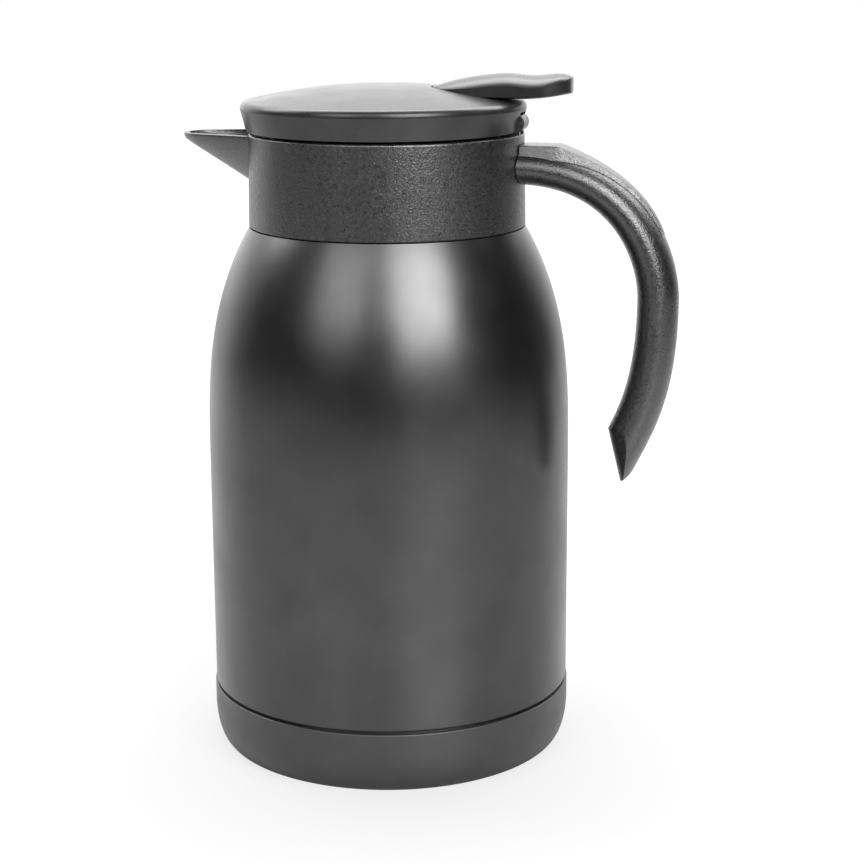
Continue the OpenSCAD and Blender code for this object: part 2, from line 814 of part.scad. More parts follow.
module handle_screws() {
    seat_x = sqrt(pow(collar_top_r - collar_wall, 2) - pow(handle_screw_gap / 2 + screw_head_r, 2)) - fit;
    color(steel)
    for (side = [-1, 1])
        translate([0, side * handle_screw_gap / 2, root_z]) {
            rod_x(seat_x - screw_head_h, screw_head_h, screw_head_r, screw_head_r);
            rod_x(seat_x, collar_top_r + handle_screw_l - over - seat_x, handle_screw_r, handle_screw_r);
        }
}

module hinge_pin() {
    color(steel)
    translate([hinge_x, 0, hinge_z]) rod_y(pin_l, pin_r);
}

// Dome and skirt of the lid as a solid, drawn in by w
module lid_solid(w) {
    low_z = w > 0 ? skirt_z - over : skirt_z;
    translate([-lid_shift, 0, 0])
    rotate_extrude()
    polygon(concat(
        [[0, low_z], [skirt_r - w, low_z]],
        arc([rim_c, rim_z0], max(edge, rim_round - w), -skirt_lean, 90 - crown_end, 6),
        arc([0, crown_z], crown_r - w, 90 - crown_end, 90, 12)));
}

// Cover without its fittings: dome, skirt and flat back, open below and around the ears
module lid_shell() {
    difference() {
        intersection() {
            lid_solid(0);
            before(lid_back);
        }
        intersection() {
            lid_solid(lid_wall);
            before(lid_back - lid_wall);
        }
        translate([hinge_x - barrel_r - ear_clear, -slot_w / 2, skirt_z - over])
        cube([far, slot_w, hinge_z + barrel_r + ear_clear - skirt_z + over]);
    }
}

// Thick place of the cover that the lever is screwed to
module lever_pad() {
    intersection() {
        lid_solid(0);
        before(lid_back);
        translate([0, 0, lever_z - pad_t]) linear_extrude(far) polygon(lever_outline(reveal + lid_wall));
    }
}

// Corners of the square that the stopper screws form
module at_plug_screws() {
    for (a = [45:90:315])
        rotate([0, 0, a]) translate([plug_screw_x, 0, plug_top]) children();
}

module plug_bosses() {
    intersection() {
        lid_solid(0);
        at_plug_screws() cylinder(h = far, r = boss_r);
    }
}

module lid_knuckle() {
    translate([hinge_x, 0, hinge_z]) {
        rod_y(knuckle_w, barrel_r);
        translate([-barrel_r, -knuckle_w / 2, 0])
        cube([back_gap + barrel_r, knuckle_w, lever_z - pad_t + edge - hinge_z]);
    }
}

module at_lever_screws() {
    for (i = [0, 1])
        translate([lever_nose + lever_screw_in + i * lever_screw_gap, 0, lever_z]) children();
}

module lid_cover() {
    color(black)
    difference() {
        union() {
            lid_shell();
            lever_pad();
            plug_bosses();
            lid_knuckle();
        }
        translate([0, 0, lever_z]) linear_extrude(far) polygon(lever_outline(reveal));
        translate([hinge_x, 0, hinge_z]) rod_y(slot_w, pin_r + pin_clear);
        at_lever_screws() cylinder(h = far, r = lid_screw_r + screw_clear, center = true);
        at_plug_screws() translate([0, 0, -over]) cylinder(h = plug_screw_l + 2 * over, r = lid_screw_r);
    }
}

// Section of the lever at distance x behind the axis
function lever_section(x) =
    let (h = lever_half(x), m = 12,
        across = [for (i = [0:m]) h * sin(180 * i / m - 90)],
        top = [for (y = across) [x, y, lever_ridge(x) - lever_crown * pow(2 * y / lever_w, 2)
            - lever_edge * pow(abs(y) / h, edge_power)]],
        low = [for (y = across) [x, y, lever_under(x) + lever_edge * pow(abs(y) / h, edge_power)]])
    concat(top, reverse(low));

module lever_body() {
    nose = [for (a = [10:10:90]) lever_nose + nose_l * (1 - cos(a))];
    back = lever_end - lever_corner;
    middle = [for (i = [1:9]) lever_nose + nose_l + (back - lever_nose - nose_l) * i / 9];
    heel = [for (a = [15:15:90]) back + lever_corner * sin(a)];
    stations = concat(nose, middle, heel);
    loft([for (x = stations) each lever_section(x)], 26, len(stations));
}

module thumb_lever() {
    color(black)
    difference() {
        lever_body();
        at_lever_screws() translate([0, 0, -over]) cylinder(h = lever_screw_l + over + edge, r = lid_screw_r);
    }
}

module lever_screws() {
    color(steel)
    at_lever_screws() {
        translate([0, 0, -pad_t]) cylinder(h = pad_t + lever_screw_l, r = lid_screw_r);
        translate([0, 0, -pad_t - screw_head_h]) cylinder(h = screw_head_h, r = screw_head_r);
    }
}

// Inside radius of the stopper's wall at height z
function plug_inside(z) =
    plug_foot_r - plug_wall + (wall_top_r - plug_foot_r) * (z - plug_z) / (flange_z - plug_z);

module lid_plug() {
    low = seal_z - seal_h / 2;
    high = seal_z + seal_h / 2;
    color(charcoal)
    difference() {
        rotate_extrude()
        polygon([[plug_inside(plug_z), plug_z], [plug_foot_r, plug_z], [land_r, low],
            [land_r - seal_groove, low], [land_r - seal_groove, high], [land_r, high],
            [wall_top_r, flange_z], [flange_r, flange_z + edge], [flange_r, plug_top - edge],
            [flange_r - edge, plug_top], [0, plug_top], [0, flange_z], [plug_inside(flange_z), flange_z]]);
        at_plug_screws() cylinder(h = far, r = lid_screw_r + screw_clear, center = true);
    }
}

// Frustum that follows the inside of the stopper's wall from height a to b, with clearance c
module plug_fill(a, b, c) {
    translate([0, 0, a]) cylinder(h = b - a, r1 = plug_inside(a) - c, r2 = plug_inside(b) - c);
}

module plug_insulation() {
    color("wheat") plug_fill(foam_z, foam_z + foam_t, foam_play);
}

module plug_gasket() {
    low = seal_z - seal_h / 2;
    high = seal_z + seal_h / 2;
    color("lightgray")
    rotate_extrude()
    polygon([[land_r - seal_groove, low], [land_r + edge, low], [seal_r, seal_z - edge],
        [seal_r, seal_z + edge], [land_r + edge, high], [land_r - seal_groove, high]]);
}

module plug_cap() {
    color(charcoal) plug_fill(plug_z, plug_z + cap_t, 0);
}

module plug_screws() {
    color(steel)
    at_plug_screws() {
        translate([0, 0, -plug_top_t]) cylinder(h = plug_top_t + plug_screw_l, r = lid_screw_r);
        translate([0, 0, -plug_top_t - screw_head_h]) cylinder(h = screw_head_h, r = screw_head_r);
    }
}

outer_shell();
shell_shoulder();
shell_base();
inner_liner();
liner_shoulder();
liner_base();
neck_ring();
getter();
vacuum_seal();
base_cup();
spout_collar();
throat_ring();
neck_gasket();
handle();
handle_screws();
hinge_pin();
lid_cover();
thumb_lever();
lever_screws();
lid_plug();
plug_insulation();
plug_gasket();
plug_cap();
plug_screws();
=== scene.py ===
import json
import math

import bpy
from mathutils import Matrix, Vector


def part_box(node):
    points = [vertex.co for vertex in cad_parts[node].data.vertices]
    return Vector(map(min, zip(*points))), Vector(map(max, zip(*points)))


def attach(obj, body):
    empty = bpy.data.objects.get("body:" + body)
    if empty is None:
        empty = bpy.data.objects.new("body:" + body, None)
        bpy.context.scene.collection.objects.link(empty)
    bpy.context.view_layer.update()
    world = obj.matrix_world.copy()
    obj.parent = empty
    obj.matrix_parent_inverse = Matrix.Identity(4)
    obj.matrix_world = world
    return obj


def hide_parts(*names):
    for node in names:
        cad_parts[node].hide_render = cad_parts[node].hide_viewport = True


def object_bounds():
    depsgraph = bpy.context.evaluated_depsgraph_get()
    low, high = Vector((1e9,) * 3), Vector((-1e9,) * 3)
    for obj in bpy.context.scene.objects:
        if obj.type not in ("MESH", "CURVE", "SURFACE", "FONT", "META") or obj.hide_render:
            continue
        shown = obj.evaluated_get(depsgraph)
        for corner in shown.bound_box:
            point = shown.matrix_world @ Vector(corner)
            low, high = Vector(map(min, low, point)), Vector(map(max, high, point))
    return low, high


# %% [markdown]
# # A vacuum carafe with a flip lid
#
# This lesson takes the finished construction of a carafe and gives it the surfaces that a photograph shows:
# a steel body with satin black paint, a spark-grained collar with a pouring beak, a smooth domed lid with a
# thumb lever, and an open hook of a handle.
#
# The construction comes first. It fixes where everything is, so nothing here is placed by eye: a new piece
# takes its size from the box of the part that it stands for, or from a value with a name.

# %% Load the construction
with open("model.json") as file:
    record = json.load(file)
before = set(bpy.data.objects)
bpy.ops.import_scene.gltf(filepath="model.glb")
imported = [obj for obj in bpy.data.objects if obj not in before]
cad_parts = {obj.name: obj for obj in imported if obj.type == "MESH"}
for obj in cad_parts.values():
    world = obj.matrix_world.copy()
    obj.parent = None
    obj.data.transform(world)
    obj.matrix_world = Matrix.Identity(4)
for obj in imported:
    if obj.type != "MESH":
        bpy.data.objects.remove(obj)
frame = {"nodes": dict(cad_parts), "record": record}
cad_low, cad_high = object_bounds()
MM = 0.001
print("parts of the construction:", len(frame["nodes"]))
print("size in mm:", [round(side / MM, 1) for side in cad_high - cad_low])

# %% [markdown]
# ## The camera
#
# The photograph is a plain product picture taken from a little above. Its camera can be described by a few
# numbers: how far it stands from the carafe's axis, how high it is, how far it looks down and to the side,
# and how much the carafe is turned in front of it. A long lens flattens the picture, so the distance and the
# focal length go together. They are written as real sizes, and the matrix is built from them.

# %% Set up the camera
PHOTO_SIZE = 864
FOCAL_PIXELS = 2040.2
SENSOR = 36
CAMERA_DISTANCE = 722.4 * MM
CAMERA_HEIGHT = 287.35 * MM
HANDLE_TURN = math.radians(13)
CAMERA_PITCH = math.radians(13.52)
CAMERA_ROLL = math.radians(-0.24)
CAMERA_YAW = math.radians(1.23)


def aim_camera():
    """Places the camera on its circle around the carafe's axis and tilts it."""
    forward = Vector((math.sin(CAMERA_YAW - HANDLE_TURN) * math.cos(CAMERA_PITCH),
                      math.cos(CAMERA_YAW - HANDLE_TURN) * math.cos(CAMERA_PITCH),
                      -math.sin(CAMERA_PITCH)))
    level = Vector((math.cos(CAMERA_YAW - HANDLE_TURN), -math.sin(CAMERA_YAW - HANDLE_TURN), 0))
    upward = level.cross(forward)
    right = math.cos(CAMERA_ROLL) * level + math.sin(CAMERA_ROLL) * upward
    up = math.cos(CAMERA_ROLL) * upward - math.sin(CAMERA_ROLL) * level
    place = Vector((CAMERA_DISTANCE * math.sin(HANDLE_TURN),
                    -CAMERA_DISTANCE * math.cos(HANDLE_TURN), CAMERA_HEIGHT))
    return Matrix((right, up, -forward)).transposed().to_4x4(), place


camera_data = bpy.data.cameras.new("camera")
camera_data.sensor_width = SENSOR
camera_data.lens = FOCAL_PIXELS / PHOTO_SIZE * SENSOR
camera = bpy.data.objects.new("camera", camera_data)
bpy.context.scene.collection.objects.link(camera)
turned, camera_place = aim_camera()
camera.matrix_world = Matrix.Translation(camera_place) @ turned
bpy.context.scene.camera = camera
bpy.context.scene.view_settings.view_transform = "Standard"
print("lens in mm:", round(camera_data.lens, 1))

# %% [markdown]
# ## Working habits
#
# Blender's operators work on whatever is selected, so every step starts by clearing the selection. A few
# short helpers keep that habit in one place: one leaves the scene with nothing selected, one makes a single
# piece active, and one gives a modifier its settings and applies it.

# %% Helpers for selecting and for modifiers


def clear_selection():
    """Leaves edit mode and selects nothing."""
    if bpy.context.mode != "OBJECT":
        bpy.ops.object.mode_set(mode="OBJECT")
    bpy.ops.object.select_all(action="DESELECT")


def pick(piece):
    """Selects one piece alone."""
    clear_selection()
    piece.select_set(True)
    bpy.context.view_layer.objects.active = piece


def apply_modifier(piece, kind, **settings):
    """Adds a modifier, gives it its settings and applies it."""
    pick(piece)
    modifier = piece.modifiers.new(kind.lower(), kind)
    for name, value in settings.items():
        setattr(modifier, name, value)
    bpy.ops.object.modifier_apply(modifier=modifier.name)


def combine(piece, other, operation):
    """Joins, cuts or keeps the common part of two closed shapes, and deletes the second."""
    apply_modifier(piece, "BOOLEAN", object=other, operation=operation, solver="EXACT")
    bpy.data.objects.remove(other)


def smooth(piece, angle=30):
    """Shades a piece smooth except across edges sharper than the angle."""
    pick(piece)
    bpy.ops.object.shade_smooth_by_angle(angle=math.radians(angle))
    apply_modifier(piece, "WEIGHTED_NORMAL", keep_sharp=True)
    print(piece.name, "has", len(piece.data.polygons), "faces")


# %% [markdown]
# ## Curves for outlines
#
# Three small functions draw every outline in this lesson: an arc, a Bezier curve through four control points,
# and an outline moved sideways by the thickness of a sheet. Outlines are lists of points with a distance from
# the axis and a height, as a lathe worker would draw them.

# %% Draw arcs, curves and offsets


def arc(centre, radius, start, end, steps):
    """Points on an arc in degrees, first and last included."""
    angles = [math.radians(start + (end - start) * i / steps) for i in range(steps + 1)]
    return [Vector((centre[0] + radius * math.cos(a), centre[1] + radius * math.sin(a))) for a in angles]


def bezier(points, share):
    """Point on a cubic Bezier curve."""
    a, b, c, d = [Vector(p) for p in points]
    rest = 1 - share
    return a * rest**3 + b * 3 * rest**2 * share + c * 3 * rest * share**2 + d * share**3


def bezier_way(points, share):
    """Direction of a cubic Bezier curve."""
    a, b, c, d = [Vector(p) for p in points]
    rest = 1 - share
    return ((b - a) * rest**2 + (c - b) * 2 * rest * share + (d - c) * share**2).normalized()


def moved_aside(outline, distance):
    """The same outline moved to its left by a distance."""
    moved = []
    for i, point in enumerate(outline):
        before, after = outline[max(0, i - 1)], outline[min(len(outline) - 1, i + 1)]
        way = (after - before).normalized()
        moved.append(point + distance * Vector((-way.y, way.x)))
    return moved


# %% [markdown]
# ## Turning on a lathe
#
# Most of a carafe is round, and the real body is spun from a steel tube. The same can be done here: a small
# plane is merged into one point, the point is extruded along the outline, and the outline is spun round the
# axis. The ends are merged, and the normals are recalculated because a spin can turn a shape inside out.

# %% Spin an outline into a piece
ROUND_STEPS = 256
MERGE = 0.002 * MM


def spin_outline(name, outline, steps=ROUND_STEPS):
    """Makes a piece by extruding a point along an outline and spinning it round the vertical axis."""
    clear_selection()
    bpy.ops.mesh.primitive_plane_add(size=MM)
    piece = bpy.context.object
    piece.name = name
    bpy.ops.object.mode_set(mode="EDIT")
    bpy.ops.mesh.select_all(action="SELECT")
    bpy.ops.mesh.merge(type="CENTER")
    bpy.ops.transform.translate(value=(outline[0].x, 0, outline[0].y))
    ends_on_axis = max(outline[0].x, outline[-1].x) < MERGE
    following = outline[1:] if ends_on_axis else outline[1:] + outline[:1]
    for here, there in zip(outline, following):
        step = (there.x - here.x, 0, there.y - here.y)
        bpy.ops.mesh.extrude_vertices_move(TRANSFORM_OT_translate={"value": step})
    bpy.ops.mesh.select_all(action="SELECT")
    bpy.ops.mesh.spin(steps=steps, angle=math.tau, center=(0, 0, 0), axis=(0, 0, 1))
    bpy.ops.mesh.select_all(action="SELECT")
    bpy.ops.mesh.remove_doubles(threshold=MERGE)
    bpy.ops.mesh.normals_make_consistent(inside=False)
    bpy.ops.object.mode_set(mode="OBJECT")
    return piece


def drum(name, radius, low, high, steps=ROUND_STEPS):
    """Upright round drum between two heights."""
    outline = [Vector((0, low)), Vector((radius, low)), Vector((radius, high)), Vector((0, high))]
    return spin_outline(name, outline, steps)


def rod(name, radius, low, high, steps=64):
    """Round rod along X between two distances, at height zero."""
    piece = drum(name, radius, low, high, steps)
    piece.data.transform(Matrix.Rotation(math.radians(90), 4, "Y"))
    return piece


# %% [markdown]
# ## The steel body
#
# The outer bottle is one deep-drawn shell: a rounded bottom that hides in the base cup, a straight wall, a
# long shoulder that curves in to a ledge, and a short neck. It could be a stack of cones, but the eye sees
# every joint in its reflections, so the shoulder is one curve with many points. The wall is a real sheet,
# made by moving the outline inwards.

# %% Spin the body
SHEET = 0.6 * MM
BOTTLE_CORNER = 9 * MM
STEP_ROUND = 1.2 * MM
STRAIGHT_HEIGHT = 83.8 * MM
SHOULDER_LEAN = math.radians(30)
LEDGE_WIDTH = 8.4 * MM
COLLAR_SEAM = 0.3 * MM
NECK_FILLET = 2 * MM
BOTTLE_INSET = 1.4 * MM

shell_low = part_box("outer_shell")[0]
shell_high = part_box("shell_shoulder")[1]
cup_low, cup_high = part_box("base_cup")
gasket_low, gasket_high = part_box("neck_gasket")
collar_low, collar_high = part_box("spout_collar")
body_radius = shell_high.x
cup_top = cup_high.z
neck_radius = gasket_high.x
ledge_radius = neck_radius + LEDGE_WIDTH
ledge_height = collar_low.z - COLLAR_SEAM
bottle_radius = body_radius - BOTTLE_INSET


def shoulder_curve():
    """Control points of the shoulder, from the straight wall to the ledge."""
    low = cup_top + STRAIGHT_HEIGHT
    third = (ledge_height - low) / 3
    lean = math.tan(SHOULDER_LEAN) * third
    return [(body_radius, low), (body_radius, low + third),
            (ledge_radius + lean, ledge_height - third), (ledge_radius, ledge_height)]


def body_outline():
    """Outline of the painted side of the bottle, from its bottom flange to its rim."""
    seam = cup_top + STEP_ROUND / 2
    shoulder = shoulder_curve()
    bottom = shell_low.z
    return ([Vector((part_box("shell_base")[1].x, bottom))]
            + arc((bottle_radius - BOTTLE_CORNER, bottom + BOTTLE_CORNER), BOTTLE_CORNER, -90, 0, 8)
            + arc((body_radius - STEP_ROUND, seam + STEP_ROUND), STEP_ROUND, -90, 0, 6)
            + [Vector((body_radius, seam + STRAIGHT_HEIGHT * i / 12)) for i in range(1, 12)]
            + [bezier(shoulder, i / 64) for i in range(65)]
            + arc((neck_radius + NECK_FILLET, ledge_height + NECK_FILLET), NECK_FILLET, -90, -180, 6))


painted_side = body_outline()
steel_side = moved_aside(painted_side, SHEET)
body_shell = spin_outline("body_shell", painted_side + steel_side[::-1])
smooth(body_shell, 40)

# %% [markdown]
# ## The base cup
#
# A moulded cup covers the bottle's bottom. It stands a little proud of the body, with a fine shadow gap above
# it, and its lower corner is a quarter of an ellipse. Underneath is a flat foot with a shallow groove.

# %% Spin the base cup
FOOT_INSET = 5.5 * MM
CUP_CORNER_HEIGHT = 14.8 * MM
CUP_FLOOR = 2.6 * MM
GROOVE_RADIUS = 34 * MM
GROOVE_WIDTH = 14 * MM
GROOVE_DEPTH = 0.8 * MM
CUP_EDGE = 0.4 * MM
PUSH_FIT = 0.1 * MM


def cup_outline():
    """Closed outline of the base cup."""
    outside = cup_high.x
    foot = outside - FOOT_INSET
    inside = bottle_radius + PUSH_FIT
    corner = BOTTLE_CORNER + PUSH_FIT
    groove_end = GROOVE_RADIUS + GROOVE_WIDTH
    steps = 20
    quarter = [math.radians(90 * i / steps) for i in range(steps + 1)]
    lower_corner = [Vector((foot + FOOT_INSET * math.sin(a), CUP_CORNER_HEIGHT * (1 - math.cos(a))))
                    for a in quarter]
    return ([Vector((0, 0)), Vector((GROOVE_RADIUS, 0)), Vector((GROOVE_RADIUS, GROOVE_DEPTH)),
             Vector((groove_end, GROOVE_DEPTH)), Vector((groove_end, 0))]
            + lower_corner
            + arc((outside - CUP_EDGE, cup_top - CUP_EDGE), CUP_EDGE, 0, 90, 4)
            + [Vector((inside, cup_top))]
            + arc((inside - corner, CUP_FLOOR + corner), corner, 0, -90, 8)
            + [Vector((0, CUP_FLOOR))])


foot_cup = spin_outline("foot_cup", cup_outline())
smooth(foot_cup, 40)

# %% [markdown]
# ## A tube from a grid
#
# The beak, the handle and the thumb lever change their section along the way. For such a piece a flat grid
# with as many rows as there are sections is rolled up: each row becomes one section, the seam is merged, and
# the two open ends are filled.

# %% Roll a grid into a tube


def roll_grid(name, sections):
    """Makes a closed tube from sections that all have the same number of points."""
    around, along = len(sections[0]), len(sections)
    clear_selection()
    bpy.ops.mesh.primitive_grid_add(x_subdivisions=around, y_subdivisions=along - 1, size=MM)
    piece = bpy.context.object
    piece.name = name
    for row, section in enumerate(sections):
        for column in range(around + 1):
            piece.data.vertices[row * (around + 1) + column].co = section[column % around]
    bpy.ops.object.mode_set(mode="EDIT")
    bpy.ops.mesh.select_all(action="SELECT")
    bpy.ops.mesh.remove_doubles(threshold=MERGE)
    bpy.ops.mesh.select_all(action="DESELECT")
    bpy.ops.mesh.select_non_manifold()
    bpy.ops.mesh.fill_holes(sides=0)
    bpy.ops.mesh.select_all(action="SELECT")
    bpy.ops.mesh.normals_make_consistent(inside=False)
    bpy.ops.object.mode_set(mode="OBJECT")
    return piece


# %% [markdown]
# ## A prism from an outline
#
# Ears, pockets and pads are flat shapes with a thickness. A filled circle with as many points as the outline
# has is added, its points are moved onto the outline, and its face is extruded. A cube could be cut to the
# shape as well, but the outline is exact, and the same function also makes the cutters.

# %% Extrude a prism


def prism(name, outline, low, high):
    """Upright prism on an outline, extruded from a filled circle whose points are moved onto it."""
    clear_selection()
    bpy.ops.mesh.primitive_circle_add(vertices=len(outline), radius=MM, fill_type="NGON")
    piece = bpy.context.object
    piece.name = name
    for vertex, point in zip(piece.data.vertices, outline):
        vertex.co = (point.x, point.y, low)
    bpy.ops.object.mode_set(mode="EDIT")
    bpy.ops.mesh.select_all(action="SELECT")
    bpy.ops.mesh.extrude_region_move(TRANSFORM_OT_translate={"value": (0, 0, high - low)})
    bpy.ops.mesh.select_all(action="SELECT")
    bpy.ops.mesh.normals_make_consistent(inside=False)
    bpy.ops.object.mode_set(mode="OBJECT")
    return piece


# %% [markdown]
# ## The collar with its beak
#
# The collar is the most intricate moulding: a ring with a deck, a beak that is open at the top, a
# round-bottomed passage behind it, and two ears for the hinge pin. A modeller could push and pull one mesh
# into that shape. Here it is built as the tool maker thinks of it: simple solids are joined, then the way of
# the liquid is cut out. The edges that a hand would touch are rounded in the outlines themselves.
#
# Seen from above the beak is a round nose that widens slowly, and its keel rises in a straight line from the
# collar to a blunt tip. Each of its sections is a half ellipse, a little slimmer than a true one, under a level
# rim. The deck is cut away behind the hinge axis, so that the lid's skirt and knuckle can swing down there.

# %% Join the collar's solids
COLLAR_TAPER = 0.5 * MM
COLLAR_WALL = 2.6 * MM
COLLAR_HEIGHT = 32.8 * MM
COLLAR_EDGE = 0.8 * MM
OVERLAP = 0.4 * MM
DECK_THICKNESS = 2.4 * MM
BEAK_WALL = 1.8 * MM
NOSE_RADIUS = 9.6 * MM
BEAK_FLARE = math.radians(17)
KEEL_SLOPE = math.radians(31.5)
TIP_HEIGHT = 2.3 * MM
BEAK_BOW = 1.25
RIM_EDGE = 0.5 * MM
EDGE_TURN = 0.3
BEAK_DROP = 0.9 * MM
CHANNEL_DEPTH = 14.9 * MM
PASSAGE_RADIUS = 17 * MM
PASSAGE_WALL = 2 * MM
THROAT_PLAY = 1 * MM
HINGE_RISE = 3.8 * MM
HINGE_INSET = 4.2 * MM
EAR_WIDTH = 2.2 * MM
EAR_ROUND = 3.2 * MM
EAR_BACK = 1.8 * MM
EAR_SETBACK = 0.4 * MM
KNUCKLE_WIDTH = 5.4 * MM
SIDE_PLAY = 0.3 * MM
PIN_RADIUS = 1.5 * MM
TURN_CLEAR = 0.3 * MM
RELIEF_RADIUS = 4.75 * MM
RELIEF_HALF = 10.2 * MM
RELIEF_FRONT = 1.5 * MM
SMALL_EDGE = 0.3 * MM
SLEEVE_END = -30 * MM
ROUND_POINTS = 96
BORE_POINTS = 30

collar_radius = ledge_radius + PUSH_FIT
collar_top_radius = collar_radius - COLLAR_TAPER
collar_top = ledge_height + COLLAR_HEIGHT
collar_inside = collar_top_radius - COLLAR_WALL
deck_height = collar_top - DECK_THICKNESS
throat_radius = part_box("lid_plug")[1].x + THROAT_PLAY
throat_outside = throat_radius + PASSAGE_WALL
beak_height = collar_top - BEAK_DROP
passage_height = collar_top - CHANNEL_DEPTH + PASSAGE_RADIUS
hinge_place = Vector((collar_radius - HINGE_INSET, 0, collar_top + HINGE_RISE))
turning_radius = EAR_BACK + EAR_ROUND + TURN_CLEAR
print("hinge at", [round(c / MM, 1) for c in hinge_place])


def block(name, low, high):
    """Box between two corners, from a cube that is scaled in edit mode."""
    clear_selection()
    bpy.ops.mesh.primitive_cube_add(size=1)
    piece = bpy.context.object
    piece.name = name
    bpy.ops.object.mode_set(mode="EDIT")
    bpy.ops.mesh.select_all(action="SELECT")
    size = Vector(high) - Vector(low)
    bpy.ops.transform.resize(value=size)
    bpy.ops.transform.translate(value=(Vector(low) + Vector(high)) / 2)
    bpy.ops.object.mode_set(mode="OBJECT")
    return piece


def collar_ring():
    """Wall and deck of the collar."""
    foot = [Vector((collar_radius - COLLAR_WALL, collar_low.z)),
            Vector((collar_radius - SMALL_EDGE, collar_low.z)),
            Vector((collar_radius, collar_low.z + SMALL_EDGE))]
    edge = arc((collar_top_radius - COLLAR_EDGE, collar_top - COLLAR_EDGE), COLLAR_EDGE, 0, 90, 5)
    deck = [Vector((throat_radius, collar_top)), Vector((throat_radius, deck_height)),
            Vector((collar_inside, deck_height))]
    return spin_outline("beak_collar", foot + edge + deck)


def beak_half_width(reach, inset=0):
    """Half width of the beak at a distance behind its tip, drawn in by a wall."""
    nose = NOSE_RADIUS - inset
    bend = NOSE_RADIUS - nose * math.sin(BEAK_FLARE)
    if reach < bend:
        return math.sqrt(max(0, nose**2 - (NOSE_RADIUS - reach) ** 2))
    return nose * math.cos(BEAK_FLARE) + (reach - bend) * math.tan(BEAK_FLARE)


def beak_depth(reach):
    """Depth of the keel below the rim."""
    return TIP_HEIGHT + reach * math.tan(KEEL_SLOPE)


def half_ellipse(half, depth, edge, count=40):
    """Points sideways and up, from the near rim under the keel to the far rim."""
    start = math.asin((edge / depth) ** (1 / BEAK_BOW))
    angles = [start + (math.pi - 2 * start) * i / count for i in range(count + 1)]
    lower = [(-half * math.copysign(abs(math.cos(a)) ** BEAK_BOW, math.cos(a)),
              -depth * math.sin(a) ** BEAK_BOW) for a in angles]
    if edge:
        turn = edge * EDGE_TURN
        lower = [(edge - half, 0), (turn - half, -turn)] + lower + [(half - turn, -turn), (half - edge, 0)]
    return lower


def beak_solid():
    """Beak with its rounded nose, straight keel and a small round along its rim."""
    reaches = [NOSE_RADIUS * (1 - math.cos(math.radians(a))) for a in range(4, 91, 4)]
    length = -collar_low.x - throat_outside
    reaches += [reaches[-1] + (length - reaches[-1]) * i / 16 for i in range(1, 17)]
    sections = []
    for reach in reaches:
        half = beak_half_width(reach)
        edge = min(RIM_EDGE, half / 2)
        sections.append([Vector((collar_low.x + reach, y, beak_height + z))
                         for y, z in half_ellipse(half, beak_depth(reach), edge)])
    piece = roll_grid("beak", sections)
    combine(piece, drum("bore", collar_radius - COLLAR_WALL / 2, 0, cad_high.z), "DIFFERENCE")
    return piece


def lay_on_hinge(piece):
    """Turns an upright piece so that its axis becomes the hinge axis."""
    piece.data.transform(Matrix.Translation(hinge_place) @ Matrix.Rotation(math.radians(90), 4, "X"))
    return piece


def across_hinge(name, outline, low, high):
    """Prism whose outline lies in the upright middle plane, measured from the hinge axis."""
    return lay_on_hinge(prism(name, outline, low, high))


def round_hinge(name, radius, half, points=ROUND_POINTS):
    """Round bar on the hinge axis, as wide to both sides."""
    return across_hinge(name, arc((0, 0), radius, 0, 360, points)[:-1], -half, half)


def hinge_relief():
    """Room behind the hinge axis for the lid's skirt and knuckle as they swing down."""
    wide = round_hinge("relief", RELIEF_RADIUS, RELIEF_HALF)
    combine(wide, round_hinge("deep", turning_radius, KNUCKLE_WIDTH / 2 + SIDE_PLAY), "UNION")
    front_end = (hinge_place.x - RELIEF_FRONT, collar_radius, cad_high.z)
    combine(wide, block("front", (0, -collar_radius, 0), front_end), "DIFFERENCE")
    return wide


def passage_solid():
    """Round sleeve that carries the liquid from the throat to the beak."""
    piece = rod("sleeve", PASSAGE_RADIUS + PASSAGE_WALL, -collar_radius, SLEEVE_END)
    piece.data.transform(Matrix.Translation((0, 0, passage_height)))
    sleeve_room = drum("outside", collar_top_radius - COLLAR_WALL / 2, collar_low.z, deck_height + OVERLAP)
    combine(piece, sleeve_room, "INTERSECT")
    combine(piece, drum("throat", throat_outside, 0, cad_high.z), "DIFFERENCE")
    return piece


def hinge_shape():
    """Long round shape of the ears and the knuckle, from the axis to behind the skirt."""
    return arc((EAR_BACK, 0), EAR_ROUND, -90, 90, 24) + arc((0, 0), EAR_ROUND, 90, 270, 24)


def ear(side):
    """One of the two ears that hold the hinge pin."""
    middle = side * (KNUCKLE_WIDTH / 2 + SIDE_PLAY + EAR_WIDTH / 2)
    piece = across_hinge("ear", hinge_shape(), -middle - EAR_WIDTH / 2, -middle + EAR_WIDTH / 2)
    low = (hinge_place.x - EAR_ROUND, middle - EAR_WIDTH / 2, collar_top - DECK_THICKNESS)
    high = (collar_top_radius - EAR_SETBACK, middle + EAR_WIDTH / 2, hinge_place.z)
    combine(piece, block("ear_foot", low, high), "UNION")
    combine(piece, round_hinge("pin_bore", PIN_RADIUS, 2 * KNUCKLE_WIDTH, BORE_POINTS), "DIFFERENCE")
    return piece


beak_collar = collar_ring()
combine(beak_collar, hinge_relief(), "DIFFERENCE")
for added in (beak_solid(), passage_solid(), ear(1), ear(-1)):
    combine(beak_collar, added, "UNION")

# %% [markdown]
# ## The way of the liquid
#
# The liquid runs through a round-bottomed passage behind the collar's wall and then in the open beak. The
# beak's channel is the beak's own form drawn in by its wall, no deeper than the passage. Both are cut out of
# the joined solid in one go each, which leaves the beak with an even wall.

# %% Cut the channel and the passage
OVER = 1 * MM
CHANNEL_END = 42.5 * MM
BORE_START = -43 * MM


